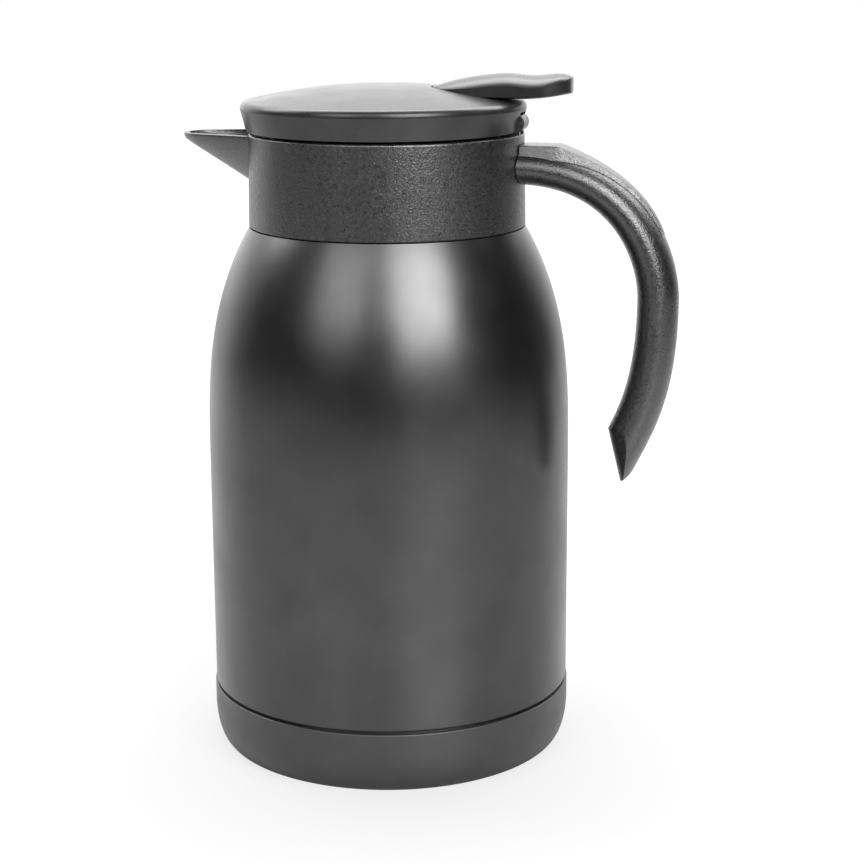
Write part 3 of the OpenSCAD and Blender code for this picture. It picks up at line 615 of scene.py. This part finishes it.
def beak_channel():
    """Open channel inside the beak, no deeper than the passage."""
    nose = NOSE_RADIUS - BEAK_WALL
    reaches = [BEAK_WALL + nose * (1 - math.cos(math.radians(a))) for a in range(3, 91, 6)]
    length = -collar_low.x - CHANNEL_END
    reaches += [reaches[-1] + (length - reaches[-1]) * i / 12 for i in range(1, 13)]
    sections = []
    for reach in reaches:
        half = min(beak_half_width(reach, BEAK_WALL), CHANNEL_DEPTH)
        depth = min(beak_depth(reach) - BEAK_WALL, CHANNEL_DEPTH)
        sections.append([Vector((collar_low.x + reach, y, beak_height + z))
                         for y, z in [(-half, OVER)] + half_ellipse(half, depth, 0) + [(half, OVER)]])
    return roll_grid("channel", sections)


def passage_bore():
    """Round-bottomed way through the collar."""
    piece = rod("bore", PASSAGE_RADIUS, BORE_START, SLEEVE_END, ROUND_POINTS)
    piece.data.transform(Matrix.Translation((0, 0, passage_height)))
    return piece


combine(beak_collar, beak_channel(), "DIFFERENCE")
combine(beak_collar, passage_bore(), "DIFFERENCE")
smooth(beak_collar, 28)

# %% [markdown]
# ## The hinge pin
#
# A steel pin runs through both ears and the lid's knuckle. It is turned on a lathe, so it is spun here too,
# with small rounds at its two ends, and then laid on the hinge axis.

# %% Turn the hinge pin
PIN_END = 0.4 * MM
PIN_FIT = 0.05 * MM
pin_reach = KNUCKLE_WIDTH / 2 + SIDE_PLAY + EAR_WIDTH
end_round = PIN_RADIUS - PIN_FIT - PIN_END
hinge_rod = lay_on_hinge(spin_outline("hinge_rod", (
    [Vector((0, -pin_reach))]
    + arc((end_round, PIN_END - pin_reach), PIN_END, -90, 0, 4)
    + arc((end_round, pin_reach - PIN_END), PIN_END, 0, 90, 4)
    + [Vector((0, pin_reach))]), 48))
smooth(hinge_rod, 40)

# %% [markdown]
# ## The handle
#
# The handle is an open hook: it leaves the collar level, bends down in one sweep and ends in a slanted cut
# beside the body. Its section is a soft oval, and a flat rib with leaning sides runs out along its back. The
# centre line is two Bezier curves. The rib could be a second solid, but then its run-out would be a hard
# line, so it is part of the section: it rises from the oval to the crest's own curve, and fades where the
# two meet.

# %% Shape the handle
ROOT_DROP = 11.2 * MM
HANDLE_OUT = 31.6 * MM
BELLY_DROP = 56.7 * MM
END_DROP = 126.4 * MM
END_RETURN = 19.5 * MM
ROOT_THICKNESS = 12.5 * MM
END_THICKNESS = 15 * MM
HANDLE_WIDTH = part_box("handle")[1].y * 2
SECTION_POWER = 2.05
RIB_DROP = 3.5 * MM
RIB_FLAT = 12.3 * MM
RIB_WIDTH = 14 * MM
RIB_END_WIDTH = 4 * MM
RIB_LEAN = 0.36
RIB_CORNER = 0.6 * MM
ROOT_INTO_COLLAR = 2 * MM
HANDLE_POINTS = 30

root_height = collar_top - ROOT_DROP
belly = Vector((body_radius + HANDLE_OUT, collar_top - BELLY_DROP))
tip = Vector((belly.x - END_RETURN, collar_top - END_DROP))
upper_bend = [(collar_radius - ROOT_INTO_COLLAR, root_height), (belly.x - 10.3 * MM, root_height),
              (belly.x, belly.y + 14.7 * MM), belly]
lower_bend = [belly, (belly.x, belly.y - 39.9 * MM), (tip.x + 8.7 * MM, tip.y + 21.3 * MM), tip]
rib_height = collar_top - RIB_DROP
rib_start = collar_radius + RIB_FLAT
rib_crest = [(rib_start, rib_height), (rib_start + 13.2 * MM, rib_height - 4.7 * MM),
             (belly.x - 4.1 * MM, rib_height - 13.4 * MM), (belly.x + 1.9 * MM, rib_height - 30.9 * MM)]
crest_points = [Vector((0, rib_height))] + [bezier(rib_crest, i / 60) for i in range(61)]


def rib_half_width(x):
    """Half width of the rib, which narrows towards where it runs out."""
    share = min(1, max(0, (x - rib_start) / (belly.x + 3 * MM - rib_start)))
    return (RIB_WIDTH + (RIB_END_WIDTH - RIB_WIDTH) * share) / 2


def crest_above(point, normal):
    """How far the rib's crest lies from a point of the centre line, along the normal."""
    for a, b in zip(crest_points, crest_points[1:]):
        edge = b - a
        cross = normal.x * edge.y - normal.y * edge.x
        if abs(cross) < 1e-12:
            continue
        along = ((a.x - point.x) * edge.y - (a.y - point.y) * edge.x) / cross
        share = ((a.x - point.x) * normal.y - (a.y - point.y) * normal.x) / cross
        if along > 0 and 0 <= share <= 1:
            return along
    return 0


def handle_section(curve, share, half):
    """Points round the handle at one place of its centre line."""
    centre, way = bezier(curve, share), bezier_way(curve, share)
    normal = Vector((-way.y, way.x))
    crest = crest_above(centre, normal)
    edge = rib_half_width(centre.x + normal.x * crest)

    wide = HANDLE_WIDTH / 2

    def skin(side):
        return half * max(0, 1 - (side / wide) ** SECTION_POWER) ** (1 / SECTION_POWER)

    rise = max(0, crest - skin(edge))
    foot = edge + RIB_LEAN * rise
    corner = min(RIB_CORNER, rise / 2)
    turn = corner * EDGE_TURN
    inner = edge - 2 * RIB_CORNER
    outline = [(inner, max(crest, skin(inner))), (edge - turn, max(crest - turn, skin(edge))),
               (edge + turn, max(crest - corner, skin(edge))), (foot, skin(foot))]
    start = math.asin(min(1, (foot / wide) ** (SECTION_POWER / 2)))
    power = 2 / SECTION_POWER
    for i in range(1, HANDLE_POINTS):
        angle = start + (math.pi - start) * i / HANDLE_POINTS
        across, aside = math.cos(angle), math.sin(angle)
        outline.append((wide * aside**power, half * math.copysign(abs(across) ** power, across)))
    far_side = [(-side, out) for side, out in reversed(outline)]
    loop = [(0, max(crest, skin(0)))] + outline + [(0, -half)] + far_side
    return [Vector(((centre + normal * out).x, side, (centre + normal * out).y)) for side, out in loop]


def handle_sections(rows=44):
    """Sections along both bends."""
    sections = []
    for i in range(2 * rows + 1):
        curve = upper_bend if i <= rows else lower_bend
        share = i / rows if i <= rows else i / rows - 1
        thickness = END_THICKNESS - (END_THICKNESS - ROOT_THICKNESS) * (1 - i / (2 * rows)) ** 2
        sections.append(handle_section(curve, share, thickness / 2))
    return sections


handle_grip = roll_grid("handle_grip", handle_sections())

# %% [markdown]
# ## The handle's two ends
#
# The root is cut to the collar's round side, and the lower end is cut along the inside of the hook: a
# rounded slanted face with a blunt tip below it. The rounded face comes from a cutter with a hollow side,
# because what is hollow in the cutter bulges in the piece.

# %% Cut the handle's two ends
CUT_LENGTH = 20 * MM
CUT_RISE = 4.2 * MM
CUT_LEAN = math.radians(13.6)
CUT_RADIUS = 12 * MM
TIP_LEAN = math.radians(37)


def end_cutter():
    """Block with a rounded hollow side, which leaves a bulging cut face."""
    reach = 2 * END_THICKNESS
    cutter = block("cutter", (-reach, -HANDLE_WIDTH, -CUT_LENGTH),
                   (CUT_RADIUS, HANDLE_WIDTH, CUT_LENGTH + CUT_RISE))
    hollow = drum("hollow", CUT_RADIUS, -CUT_LENGTH - OVER, CUT_LENGTH + CUT_RISE + OVER, 128)
    hollow.data.transform(Matrix.Translation((CUT_RADIUS, 0, 0)))
    combine(cutter, hollow, "DIFFERENCE")
    cutter.data.transform(Matrix.Rotation(-CUT_LEAN, 4, "Y"))
    return cutter


def tip_cutter():
    """Large block below the slope of the blunt tip."""
    reach = 4 * END_THICKNESS
    cutter = block("tip_cutter", (-reach, -reach, -reach), (reach, reach, 0))
    cutter.data.transform(Matrix.Rotation(-TIP_LEAN, 4, "Y"))
    return cutter


cut_place = Matrix.Translation((tip.x + END_THICKNESS / 2 - PUSH_FIT, 0, tip.y + CUT_RISE))
combine(handle_grip, drum("collar_side", collar_radius, 0, cad_high.z), "DIFFERENCE")
for cutter in (end_cutter(), tip_cutter()):
    cutter.data.transform(cut_place)
    combine(handle_grip, cutter, "DIFFERENCE")
smooth(handle_grip, 35)

# %% [markdown]
# ## The lid
#
# The cover is a shallow dome with a rounded rim and a skirt that leans in. It is round all the way, set a
# little towards the beak and drawn in slightly at the back, where a slot leaves room for the hinge ears.
# Dome and hollow are spun as two solids with the same function, and one is taken from the other.

# %% Spin the dome and shape its slot
LID_GAP = 0.9 * MM
SKIRT_IN = 0.3 * MM
SKIRT_HEIGHT = 8 * MM
RIM_ROUND = 2.4 * MM
CROWN_RADIUS = 223 * MM
LID_WALL = 2 * MM
LID_SHIFT = 0.6 * MM
BACK_SHORTENED = 0.982
EAR_CLEAR = 0.6 * MM
LEVER_SEAT = 11.6 * MM
PAD_THICKNESS = 2.6 * MM
REVEAL = 0.6 * MM

lid_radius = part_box("lid_cover")[1].y
skirt_low = collar_top + LID_GAP
rim_height = skirt_low + SKIRT_HEIGHT
skirt_radius = collar_radius - SKIRT_IN
lever_seat = skirt_low + LEVER_SEAT
slot_width = KNUCKLE_WIDTH + 2 * EAR_WIDTH + 4 * SIDE_PLAY


def dome(name, inwards):
    """Solid dome with its skirt, drawn in by a distance."""
    rim_centre = lid_radius - RIM_ROUND
    reach = CROWN_RADIUS - RIM_ROUND
    crown_low = rim_height - math.sqrt(reach**2 - rim_centre**2)
    crown_end = math.degrees(math.asin(rim_centre / reach))
    lean = math.degrees(math.atan((lid_radius - skirt_radius) / SKIRT_HEIGHT))
    low = skirt_low - OVER if inwards else skirt_low
    outline = ([Vector((0, low)), Vector((skirt_radius - inwards, low))]
               + arc((rim_centre, rim_height), max(PUSH_FIT, RIM_ROUND - inwards), -lean, 90 - crown_end, 10)
               + arc((0, crown_low), CROWN_RADIUS - inwards, 90 - crown_end, 90, 40)[1:])
    piece = spin_outline(name, outline)
    piece.data.transform(Matrix.Translation((-LID_SHIFT, 0, 0)))
    for vertex in piece.data.vertices:
        if vertex.co.x > 0:
            vertex.co.x *= BACK_SHORTENED
    return piece


domed_lid = dome("domed_lid", 0)
ear_slot = round_hinge("ear_slot", turning_radius, slot_width / 2)
slot_low = (hinge_place.x - EAR_ROUND - EAR_CLEAR, -slot_width / 2, skirt_low - OVER)
slot_high = (lid_radius + OVER, slot_width / 2, hinge_place.z + EAR_ROUND + EAR_CLEAR)
combine(ear_slot, block("opening", slot_low, slot_high), "UNION")

# %% [markdown]
# ## The thumb lever
#
# The lever is a separate moulding: an elliptical nose that grows out of the dome, a back that swells to a
# peak, a shallow dish for the thumb and an end that overhangs the handle. Its sections are drawn from three
# simple functions of the distance along it: half width, ridge and underside. The same outline, a little
# larger, cuts its pocket in the lid.

# %% Describe the lever's outline
LEVER_LENGTH = 49 * MM
LEVER_OVER = 20.9 * MM
LEVER_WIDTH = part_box("thumb_lever")[1].y * 2
NOSE_LENGTH = 19 * MM
LEVER_CORNER = 10 * MM
LEVER_HEIGHT = 8.2 * MM
NOSE_THICKNESS = 3.5 * MM
PEAK_GAP = 22.4 * MM
THUMB_LENGTH = 18 * MM
THUMB_DISH = 0.6 * MM
HEEL_DROP = 1.2 * MM
LEVER_CROWN = 3 * MM
LEVER_EDGE = 0.7 * MM
HEEL_RISE = 1.7 * MM
HEEL_LENGTH = 14.4 * MM
SLOPE_POWER = 1.8

lever_end = hinge_place.x + LEVER_OVER
lever_nose = lever_end - LEVER_LENGTH
lever_peak = lever_end - PEAK_GAP
lever_top = lever_seat + LEVER_HEIGHT


def lever_half_width(x):
    """Half width of the lever at a distance behind the axis."""
    before = lever_nose + NOSE_LENGTH - x
    behind = x - lever_end + LEVER_CORNER
    if before > 0:
        return LEVER_WIDTH / 2 * math.sqrt(max(0, 1 - (before / NOSE_LENGTH) ** 2))
    if behind > 0:
        return LEVER_WIDTH / 2 - LEVER_CORNER + math.sqrt(max(0, LEVER_CORNER**2 - behind**2))
    return LEVER_WIDTH / 2


def lever_ridge(x):
    """Height of the lever's top along its middle."""
    if x < lever_peak:
        slope = ((lever_peak - x) / (lever_peak - lever_nose)) ** SLOPE_POWER
        return lever_top - (LEVER_HEIGHT - NOSE_THICKNESS) * slope
    dish = math.sin(math.pi * min(1, (x - lever_peak) / THUMB_LENGTH)) ** 2
    heel = max(0, x - lever_peak - THUMB_LENGTH) / (PEAK_GAP - THUMB_LENGTH)
    return lever_top - THUMB_DISH * dish - HEEL_DROP * heel**2


def lever_underside(x):
    """Height of the lever's underside, which rises towards its end."""
    return lever_seat + HEEL_RISE * max(0, (x - lever_end + HEEL_LENGTH) / HEEL_LENGTH) ** 1.5


def lever_outline(grown):
    """Outline of the lever seen from above, grown by a distance."""
    half = LEVER_WIDTH / 2 + grown
    centre = lever_nose + NOSE_LENGTH
    side = [Vector((centre - (NOSE_LENGTH + grown) * math.cos(a), half * math.sin(a)))
            for a in [math.radians(90 * i / 24) for i in range(25)]]
    side += arc((lever_end + grown - LEVER_CORNER, half - LEVER_CORNER), LEVER_CORNER, 90, 0, 8)
    return side + [Vector((p.x, -p.y)) for p in reversed(side[1:])]


# %% [markdown]
# ## Inside and back of the lid
#
# The lid is a thin moulding, except for a thick pad that carries the lever's screws. From the pad a web goes
# down to the knuckle, the barrel that turns on the pin between the two ears. The pocket for the lever is cut
# last, a little wider than the lever, so that a fine shadow line stays round it.

# %% Give the lid its pad, knuckle and pocket


def lid_hollow():
    """Inside of the lid, which leaves out the thick place under the lever."""
    hollow = dome("hollow", LID_WALL)
    pad = prism("pad", lever_outline(REVEAL + LID_WALL), lever_seat - PAD_THICKNESS, cad_high.z)
    combine(hollow, pad, "DIFFERENCE")
    return hollow


def knuckle():
    """Barrel that turns on the pin, with its web to the pad."""
    piece = across_hinge("knuckle", hinge_shape(), -KNUCKLE_WIDTH / 2, KNUCKLE_WIDTH / 2)
    web = block("web", (hinge_place.x - EAR_ROUND, -KNUCKLE_WIDTH / 2, hinge_place.z),
                (hinge_place.x + EAR_BACK, KNUCKLE_WIDTH / 2, lever_seat - PAD_THICKNESS + OVERLAP))
    combine(piece, web, "UNION")
    combine(piece, round_hinge("pin_bore", PIN_RADIUS, KNUCKLE_WIDTH, BORE_POINTS), "DIFFERENCE")
    return piece


combine(domed_lid, lid_hollow(), "DIFFERENCE")
combine(domed_lid, ear_slot, "DIFFERENCE")
combine(domed_lid, knuckle(), "UNION")
combine(domed_lid, prism("pocket", lever_outline(REVEAL), lever_seat, cad_high.z + OVER), "DIFFERENCE")
smooth(domed_lid, 30)

# %% [markdown]
# ## Rolling the lever
#
# Each section of the lever has a crowned top and a nearly flat underside. A high power of the distance from
# the middle stays small over most of the width and grows quickly at the side, so it rounds the edges. The
# sections stand closer together at both ends, where the outline turns.

# %% Roll the lever
EDGE_POWER = 12


def lever_section(x, count=20):
    """Points round the lever at a distance behind the axis."""
    half = lever_half_width(x)
    across = [half * math.sin(math.radians(180 * i / count - 90)) for i in range(count + 1)]
    top, low = [], []
    for y in across:
        edge = LEVER_EDGE * (abs(y) / half) ** EDGE_POWER
        top.append(Vector((x, y, lever_ridge(x) - LEVER_CROWN * (2 * y / LEVER_WIDTH) ** 2 - edge)))
        low.insert(0, Vector((x, y, lever_underside(x) + edge)))
    return top + low


def lever_stations():
    """Distances along the lever, closer together at its two ends."""
    nose = [lever_nose + NOSE_LENGTH * (1 - math.cos(math.radians(a))) for a in range(8, 91, 4)]
    back = lever_end - LEVER_CORNER
    middle = [nose[-1] + (back - nose[-1]) * i / 24 for i in range(1, 24)]
    heel = [back + LEVER_CORNER * math.sin(math.radians(a)) for a in range(0, 89, 8)]
    return nose + middle + heel


lever = roll_grid("lever", [lever_section(x) for x in lever_stations()])
smooth(lever, 35)

# %% [markdown]
# ## Finishes
#
# Every finish is made of nodes: a base colour with a slight variation, a roughness that wanders, and a bump
# at the real scale of the grain. Object coordinates are in metres, so a noise scale of 1000 has features of
# about a millimetre. Constants that are the same everywhere are set on the shader itself.

# %% Helpers for node materials


def start_finish(name, **settings):
    """New material with its shader's constants set."""
    material = bpy.data.materials.new(name)
    material.use_nodes = True
    shader = material.node_tree.nodes["Principled BSDF"]
    for socket, value in settings.items():
        shader.inputs[socket.replace("_", " ")].default_value = value
    return material


def grey(tone):
    """Neutral colour of one tone."""
    return (tone, tone, tone, 1)


def add_noise(material, scale, detail=2, stretch=(1, 1, 1)):
    """Noise on object coordinates, with features of about one over the scale in metres."""
    nodes, links = material.node_tree.nodes, material.node_tree.links
    place = nodes.new("ShaderNodeTexCoord")
    mapping = nodes.new("ShaderNodeMapping")
    noise = nodes.new("ShaderNodeTexNoise")
    mapping.inputs["Scale"].default_value = stretch
    noise.inputs["Scale"].default_value = scale
    noise.inputs["Detail"].default_value = detail
    links.new(place.outputs["Object"], mapping.inputs["Vector"])
    links.new(mapping.outputs["Vector"], noise.inputs["Vector"])
    return noise.outputs["Fac"]


def add_range(material, source, low, high, socket, start=0.3, end=0.7):
    """Drives a shader socket between two values by a noise."""
    nodes, links = material.node_tree.nodes, material.node_tree.links
    spread = nodes.new("ShaderNodeMapRange")
    spread.inputs["From Min"].default_value = start
    spread.inputs["From Max"].default_value = end
    spread.inputs["To Min"].default_value = low
    spread.inputs["To Max"].default_value = high
    links.new(source, spread.inputs["Value"])
    links.new(spread.outputs["Result"], nodes["Principled BSDF"].inputs[socket])


def add_tones(material, source, dark, light, start=0.3, end=0.7):
    """Mixes two tones of the base colour by a noise."""
    nodes, links = material.node_tree.nodes, material.node_tree.links
    ramp = nodes.new("ShaderNodeValToRGB")
    ramp.color_ramp.elements[0].position, ramp.color_ramp.elements[1].position = start, end
    ramp.color_ramp.elements[0].color = dark
    ramp.color_ramp.elements[1].color = light
    links.new(source, ramp.inputs["Fac"])
    links.new(ramp.outputs["Color"], nodes["Principled BSDF"].inputs["Base Color"])


def add_bump(material, source, depth):
    """Bump of a real depth in metres."""
    nodes, links = material.node_tree.nodes, material.node_tree.links
    bump = nodes.new("ShaderNodeBump")
    bump.inputs["Strength"].default_value = 1
    bump.inputs["Distance"].default_value = depth
    links.new(source, bump.inputs["Height"])
    links.new(bump.outputs["Normal"], nodes["Principled BSDF"].inputs["Normal"])


def dress(piece, material):
    """Gives a piece one material."""
    piece.data.materials.clear()
    piece.data.materials.append(material)


# %% [markdown]
# ## The carafe's own blacks
#
# The body's lacquer, the grained collar and the smooth lid are all black, and only their gloss tells them
# apart. The lacquer could be a plain black gloss, but the photograph's body mirrors the room too strongly for
# that at a steep view, as a lacquer with fine metal flakes does, so it is a dark metal with a low roughness.
# The plastics are dielectric. The collar and the handle have the coarse skin of a spark-eroded mould, which
# breaks every highlight into small glints, and the lid and the cup have a very fine one.

# %% Make the finishes that show


def satin_paint():
    """Black satin lacquer on steel, with a faint orange peel."""
    finish = start_finish("satin_paint", Metallic=1)
    add_tones(finish, add_noise(finish, 60, 4), grey(0.1), grey(0.115))
    add_range(finish, add_noise(finish, 35, 3), 0.29, 0.36, "Roughness")
    add_bump(finish, add_noise(finish, 500, 2), 0.004 * MM)
    return finish


def spark_grain():
    """Black plastic moulded against a spark-eroded tool."""
    finish = start_finish("spark_grain", IOR=2)
    add_tones(finish, add_noise(finish, 900, 3), grey(0.004), grey(0.018), 0.35, 0.65)
    add_range(finish, add_noise(finish, 700, 2), 0.26, 0.4, "Roughness")
    add_bump(finish, add_noise(finish, 1500, 3), 0.16 * MM)
    return finish


def fine_grain(name, dark, light, roughness, index=1.5):
    """Smooth moulded plastic with a very fine grain."""
    finish = start_finish(name, IOR=index)
    add_tones(finish, add_noise(finish, 150, 4), grey(dark), grey(light))
    add_range(finish, add_noise(finish, 90, 3), roughness - 0.04, roughness + 0.04, "Roughness")
    add_bump(finish, add_noise(finish, 2500, 2), 0.008 * MM)
    return finish


# %% [markdown]
# ## The finishes inside
#
# With the lid open one looks at bare steel, grey silicone and the stopper. The steel bottle is polished while
# it turns, so its noise is stretched into fine lines round the axis.

# %% Make the finishes inside


def bare_steel():
    """Bare steel with fine lines round the axis."""
    finish = start_finish("bare_steel", Metallic=1)
    add_tones(finish, add_noise(finish, 80, 3), (0.52, 0.52, 0.53, 1), grey(0.62))
    add_range(finish, add_noise(finish, 60, 3, (1, 1, 40)), 0.24, 0.36, "Roughness")
    add_bump(finish, add_noise(finish, 120, 3, (1, 1, 30)), 0.01 * MM)
    return finish


def soft_silicone():
    """Grey silicone that lets a little light in."""
    finish = start_finish("soft_silicone", Subsurface_Weight=0.3, Subsurface_Scale=0.002)
    add_tones(finish, add_noise(finish, 200, 3), (0.5, 0.5, 0.51, 1), grey(0.6))
    add_range(finish, add_noise(finish, 300, 2), 0.5, 0.65, "Roughness")
    add_bump(finish, add_noise(finish, 1200, 2), 0.02 * MM)
    return finish


def rigid_foam():
    """Cream foam with open cells."""
    finish = start_finish("rigid_foam", Roughness=0.9)
    add_tones(finish, add_noise(finish, 400, 3), (0.7, 0.63, 0.45, 1), (0.86, 0.8, 0.66, 1))
    add_bump(finish, add_noise(finish, 900, 3), 0.3 * MM)
    return finish


def dull_metal(name, tone, roughness):
    """Sintered or melted material with an uneven surface."""
    finish = start_finish(name, Metallic=0.8)
    add_tones(finish, add_noise(finish, 700, 3), grey(tone * 0.8), grey(tone))
    add_range(finish, add_noise(finish, 500, 2), roughness - 0.1, roughness + 0.1, "Roughness")
    add_bump(finish, add_noise(finish, 2000, 2), 0.03 * MM)
    return finish


finishes = {
    "body_paint": satin_paint(),
    "bare_steel": bare_steel(),
    "getter_metal": dull_metal("getter_metal", 0.4, 0.6),
    "seal_glass": dull_metal("seal_glass", 0.15, 0.3),
    "cup_plastic": fine_grain("cup_plastic", 0.014, 0.022, 0.45, 1.85),
    "grained_plastic": spark_grain(),
    "lid_plastic": fine_grain("lid_plastic", 0.016, 0.024, 0.3, 1.54),
    "inner_plastic": fine_grain("inner_plastic", 0.03, 0.04, 0.5),
    "silicone": soft_silicone(),
    "foam": rigid_foam(),
}
print("finishes:", ", ".join(finishes))

# %% [markdown]
# ## Putting it together
#
# Every new piece says which part of the construction it stands for, which body it moves with and which
# finish it has. Parts that keep their own shape only get a better finish.

# %% Dress the pieces and let them ride
NEW_PIECES = [
    (body_shell, ["outer_shell", "shell_shoulder"], "carafe", "body_paint"),
    (foot_cup, ["base_cup"], "carafe", "cup_plastic"),
    (beak_collar, ["spout_collar"], "carafe", "grained_plastic"),
    (hinge_rod, ["hinge_pin"], "carafe", "bare_steel"),
    (handle_grip, ["handle"], "carafe", "grained_plastic"),
    (domed_lid, ["lid_cover"], "lid", "lid_plastic"),
    (lever, ["thumb_lever"], "lid", "lid_plastic"),
]
for piece, nodes_behind, body, slot in NEW_PIECES:
    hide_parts(*nodes_behind)
    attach(piece, body)
    dress(piece, finishes[slot])

stood_for = {node for _, nodes_behind, _, _ in NEW_PIECES for node in nodes_behind}
for part in frame["record"]["subparts"]:
    if part["node"] not in stood_for:
        dress(frame["nodes"][part["node"]], finishes[part["material_slot"]])

# %% [markdown]
# ## Studio
#
# A black object shows little colour of its own: what the eye reads is the room that it reflects. The
# photograph's shoulder shows a tall bright window to the right, a dimmer panel to the left and dark side
# walls. The lower body shows white paper that ends in front of the carafe, and every edge shows the bright
# background. So the studio has two softboxes in front, a faint scrim between them, a bank above the back, and
# a world that is bright only behind the carafe.
#
# A softbox is described as a photographer would: how far round it stands, how high, how wide and tall it is
# as seen from the carafe, and how bright its face is compared with white paper.

# %% Hang the softboxes
LIGHT_DISTANCE = 1.6
LIGHT_AIM = Vector((0, 0, 0.12))


def from_carafe(round_by, up_by):
    """Direction by degrees round from the camera's side, to the right, and degrees up."""
    turn = math.radians(round_by) - math.pi / 2 + HANDLE_TURN
    rise = math.radians(up_by)
    return Vector((math.cos(turn) * math.cos(rise), math.sin(turn) * math.cos(rise), math.sin(rise)))


def softbox(name, round_by, up_by, wide, tall, brightness):
    """Rectangular light that faces the carafe and covers the given angles."""
    light = bpy.data.lights.new(name, "AREA")
    light.shape = "RECTANGLE"
    light.size = 2 * LIGHT_DISTANCE * math.tan(math.radians(wide / 2))
    light.size_y = 2 * LIGHT_DISTANCE * math.tan(math.radians(tall / 2))
    light.energy = brightness * math.pi * light.size * light.size_y
    lamp = bpy.data.objects.new(name, light)
    bpy.context.scene.collection.objects.link(lamp)
    direction = from_carafe(round_by, up_by)
    lamp.location = LIGHT_AIM + LIGHT_DISTANCE * direction
    lamp.rotation_euler = direction.to_track_quat("Z", "Y").to_euler()
    print(name, round(light.size, 2), "by", round(light.size_y, 2), "m,", round(light.energy), "W")


softbox("key_window", 25.5, 33.5, 34, 41, 7.4)
softbox("fill_panel", -36, 35, 28, 36, 2.5)
softbox("front_scrim", 0, 38, 90, 34, 0.7)
softbox("top_bank", 185, 60, 110, 32, 4.6)

# %% [markdown]
# ## Paper and room
#
# The camera sees pure white: the paper glows a little for camera rays alone, a bit less near the foot so that
# a soft shadow stays, and the world is white for them. Reflections must not see that flat white, because the
# photograph's body mirrors a room with dark sides and a bright back. So glossy rays meet the real paper, and
# a world whose brightness follows the direction.

# %% Lay the paper and set the world
PAPER_WHITE = 0.44
PAPER_FRONT = 0.6
PAPER_BACK = 3
PAPER_LEFT = 1.5
PAPER_RIGHT = 0.8
PAPER_DROP = 0.05 * MM
GLOW_NEAR = 0.05
GLOW_FAR = 0.3
GLOW_LEAST = 0.75
ROOM_DARK = 0.02
ROOM_BRIGHT = 1.9


def make_floor():
    """Pale paper that keeps the shadow but shows white to the camera."""
    clear_selection()
    bpy.ops.mesh.primitive_plane_add(size=1)
    floor = bpy.context.object
    floor.name = "floor"
    middle = Vector(((PAPER_RIGHT - PAPER_LEFT) / 2, (PAPER_BACK - PAPER_FRONT) / 2, -PAPER_DROP))
    stretch = Matrix.Diagonal((PAPER_LEFT + PAPER_RIGHT, PAPER_BACK + PAPER_FRONT, 1, 1))
    turn = Matrix.Rotation(HANDLE_TURN, 4, "Z")
    floor.data.transform(turn @ Matrix.Translation(middle) @ stretch)
    material = bpy.data.materials.new("floor_paper")
    material.use_nodes = True
    nodes, links = material.node_tree.nodes, material.node_tree.links
    nodes.remove(nodes["Principled BSDF"])
    paper = nodes.new("ShaderNodeBsdfPrincipled")
    paper.inputs["Base Color"].default_value = grey(PAPER_WHITE)
    paper.inputs["Roughness"].default_value = 0.3
    shown = nodes.new("ShaderNodeBsdfDiffuse")
    shown.inputs["Color"].default_value = grey(0.1)
    glow = nodes.new("ShaderNodeEmission")
    glow.inputs["Color"].default_value = grey(1)
    place = nodes.new("ShaderNodeTexCoord")
    away = nodes.new("ShaderNodeVectorMath")
    away.operation = "LENGTH"
    fade = nodes.new("ShaderNodeMapRange")
    fade.inputs["From Min"].default_value = GLOW_NEAR
    fade.inputs["From Max"].default_value = GLOW_FAR
    fade.inputs["To Min"].default_value = GLOW_LEAST
    links.new(place.outputs["Object"], away.inputs[0])
    links.new(away.outputs["Value"], fade.inputs["Value"])
    links.new(fade.outputs["Result"], glow.inputs["Strength"])
    lit = nodes.new("ShaderNodeAddShader")
    rays = nodes.new("ShaderNodeLightPath")
    choose = nodes.new("ShaderNodeMixShader")
    links.new(shown.outputs[0], lit.inputs[0])
    links.new(glow.outputs[0], lit.inputs[1])
    links.new(rays.outputs["Is Camera Ray"], choose.inputs[0])
    links.new(paper.outputs[0], choose.inputs[1])
    links.new(lit.outputs[0], choose.inputs[2])
    links.new(choose.outputs[0], nodes["Material Output"].inputs["Surface"])
    dress(floor, material)


def make_world():
    """White for the camera; for reflections bright behind the carafe and dark in front of it."""
    world = bpy.data.worlds.new("studio")
    bpy.context.scene.world = world
    world.use_nodes = True
    nodes, links = world.node_tree.nodes, world.node_tree.links
    place = nodes.new("ShaderNodeTexCoord")
    facing = nodes.new("ShaderNodeVectorMath")
    facing.operation = "DOT_PRODUCT"
    facing.inputs[1].default_value = from_carafe(-172, 28)
    spread = nodes.new("ShaderNodeMapRange")
    spread.interpolation_type = "SMOOTHSTEP"
    spread.inputs["From Min"].default_value = 0.3
    spread.inputs["From Max"].default_value = 0.95
    spread.inputs["To Min"].default_value = ROOM_DARK
    spread.inputs["To Max"].default_value = ROOM_BRIGHT
    room = nodes["Background"]
    room.inputs["Color"].default_value = grey(1)
    white = nodes.new("ShaderNodeBackground")
    white.inputs["Color"].default_value = grey(1)
    rays = nodes.new("ShaderNodeLightPath")
    choose = nodes.new("ShaderNodeMixShader")
    links.new(place.outputs["Generated"], facing.inputs[0])
    links.new(facing.outputs["Value"], spread.inputs["Value"])
    links.new(spread.outputs["Result"], room.inputs["Strength"])
    links.new(rays.outputs["Is Camera Ray"], choose.inputs[0])
    links.new(room.outputs[0], choose.inputs[1])
    links.new(white.outputs[0], choose.inputs[2])
    links.new(choose.outputs[0], nodes["World Output"].inputs["Surface"])


make_floor()
make_world()
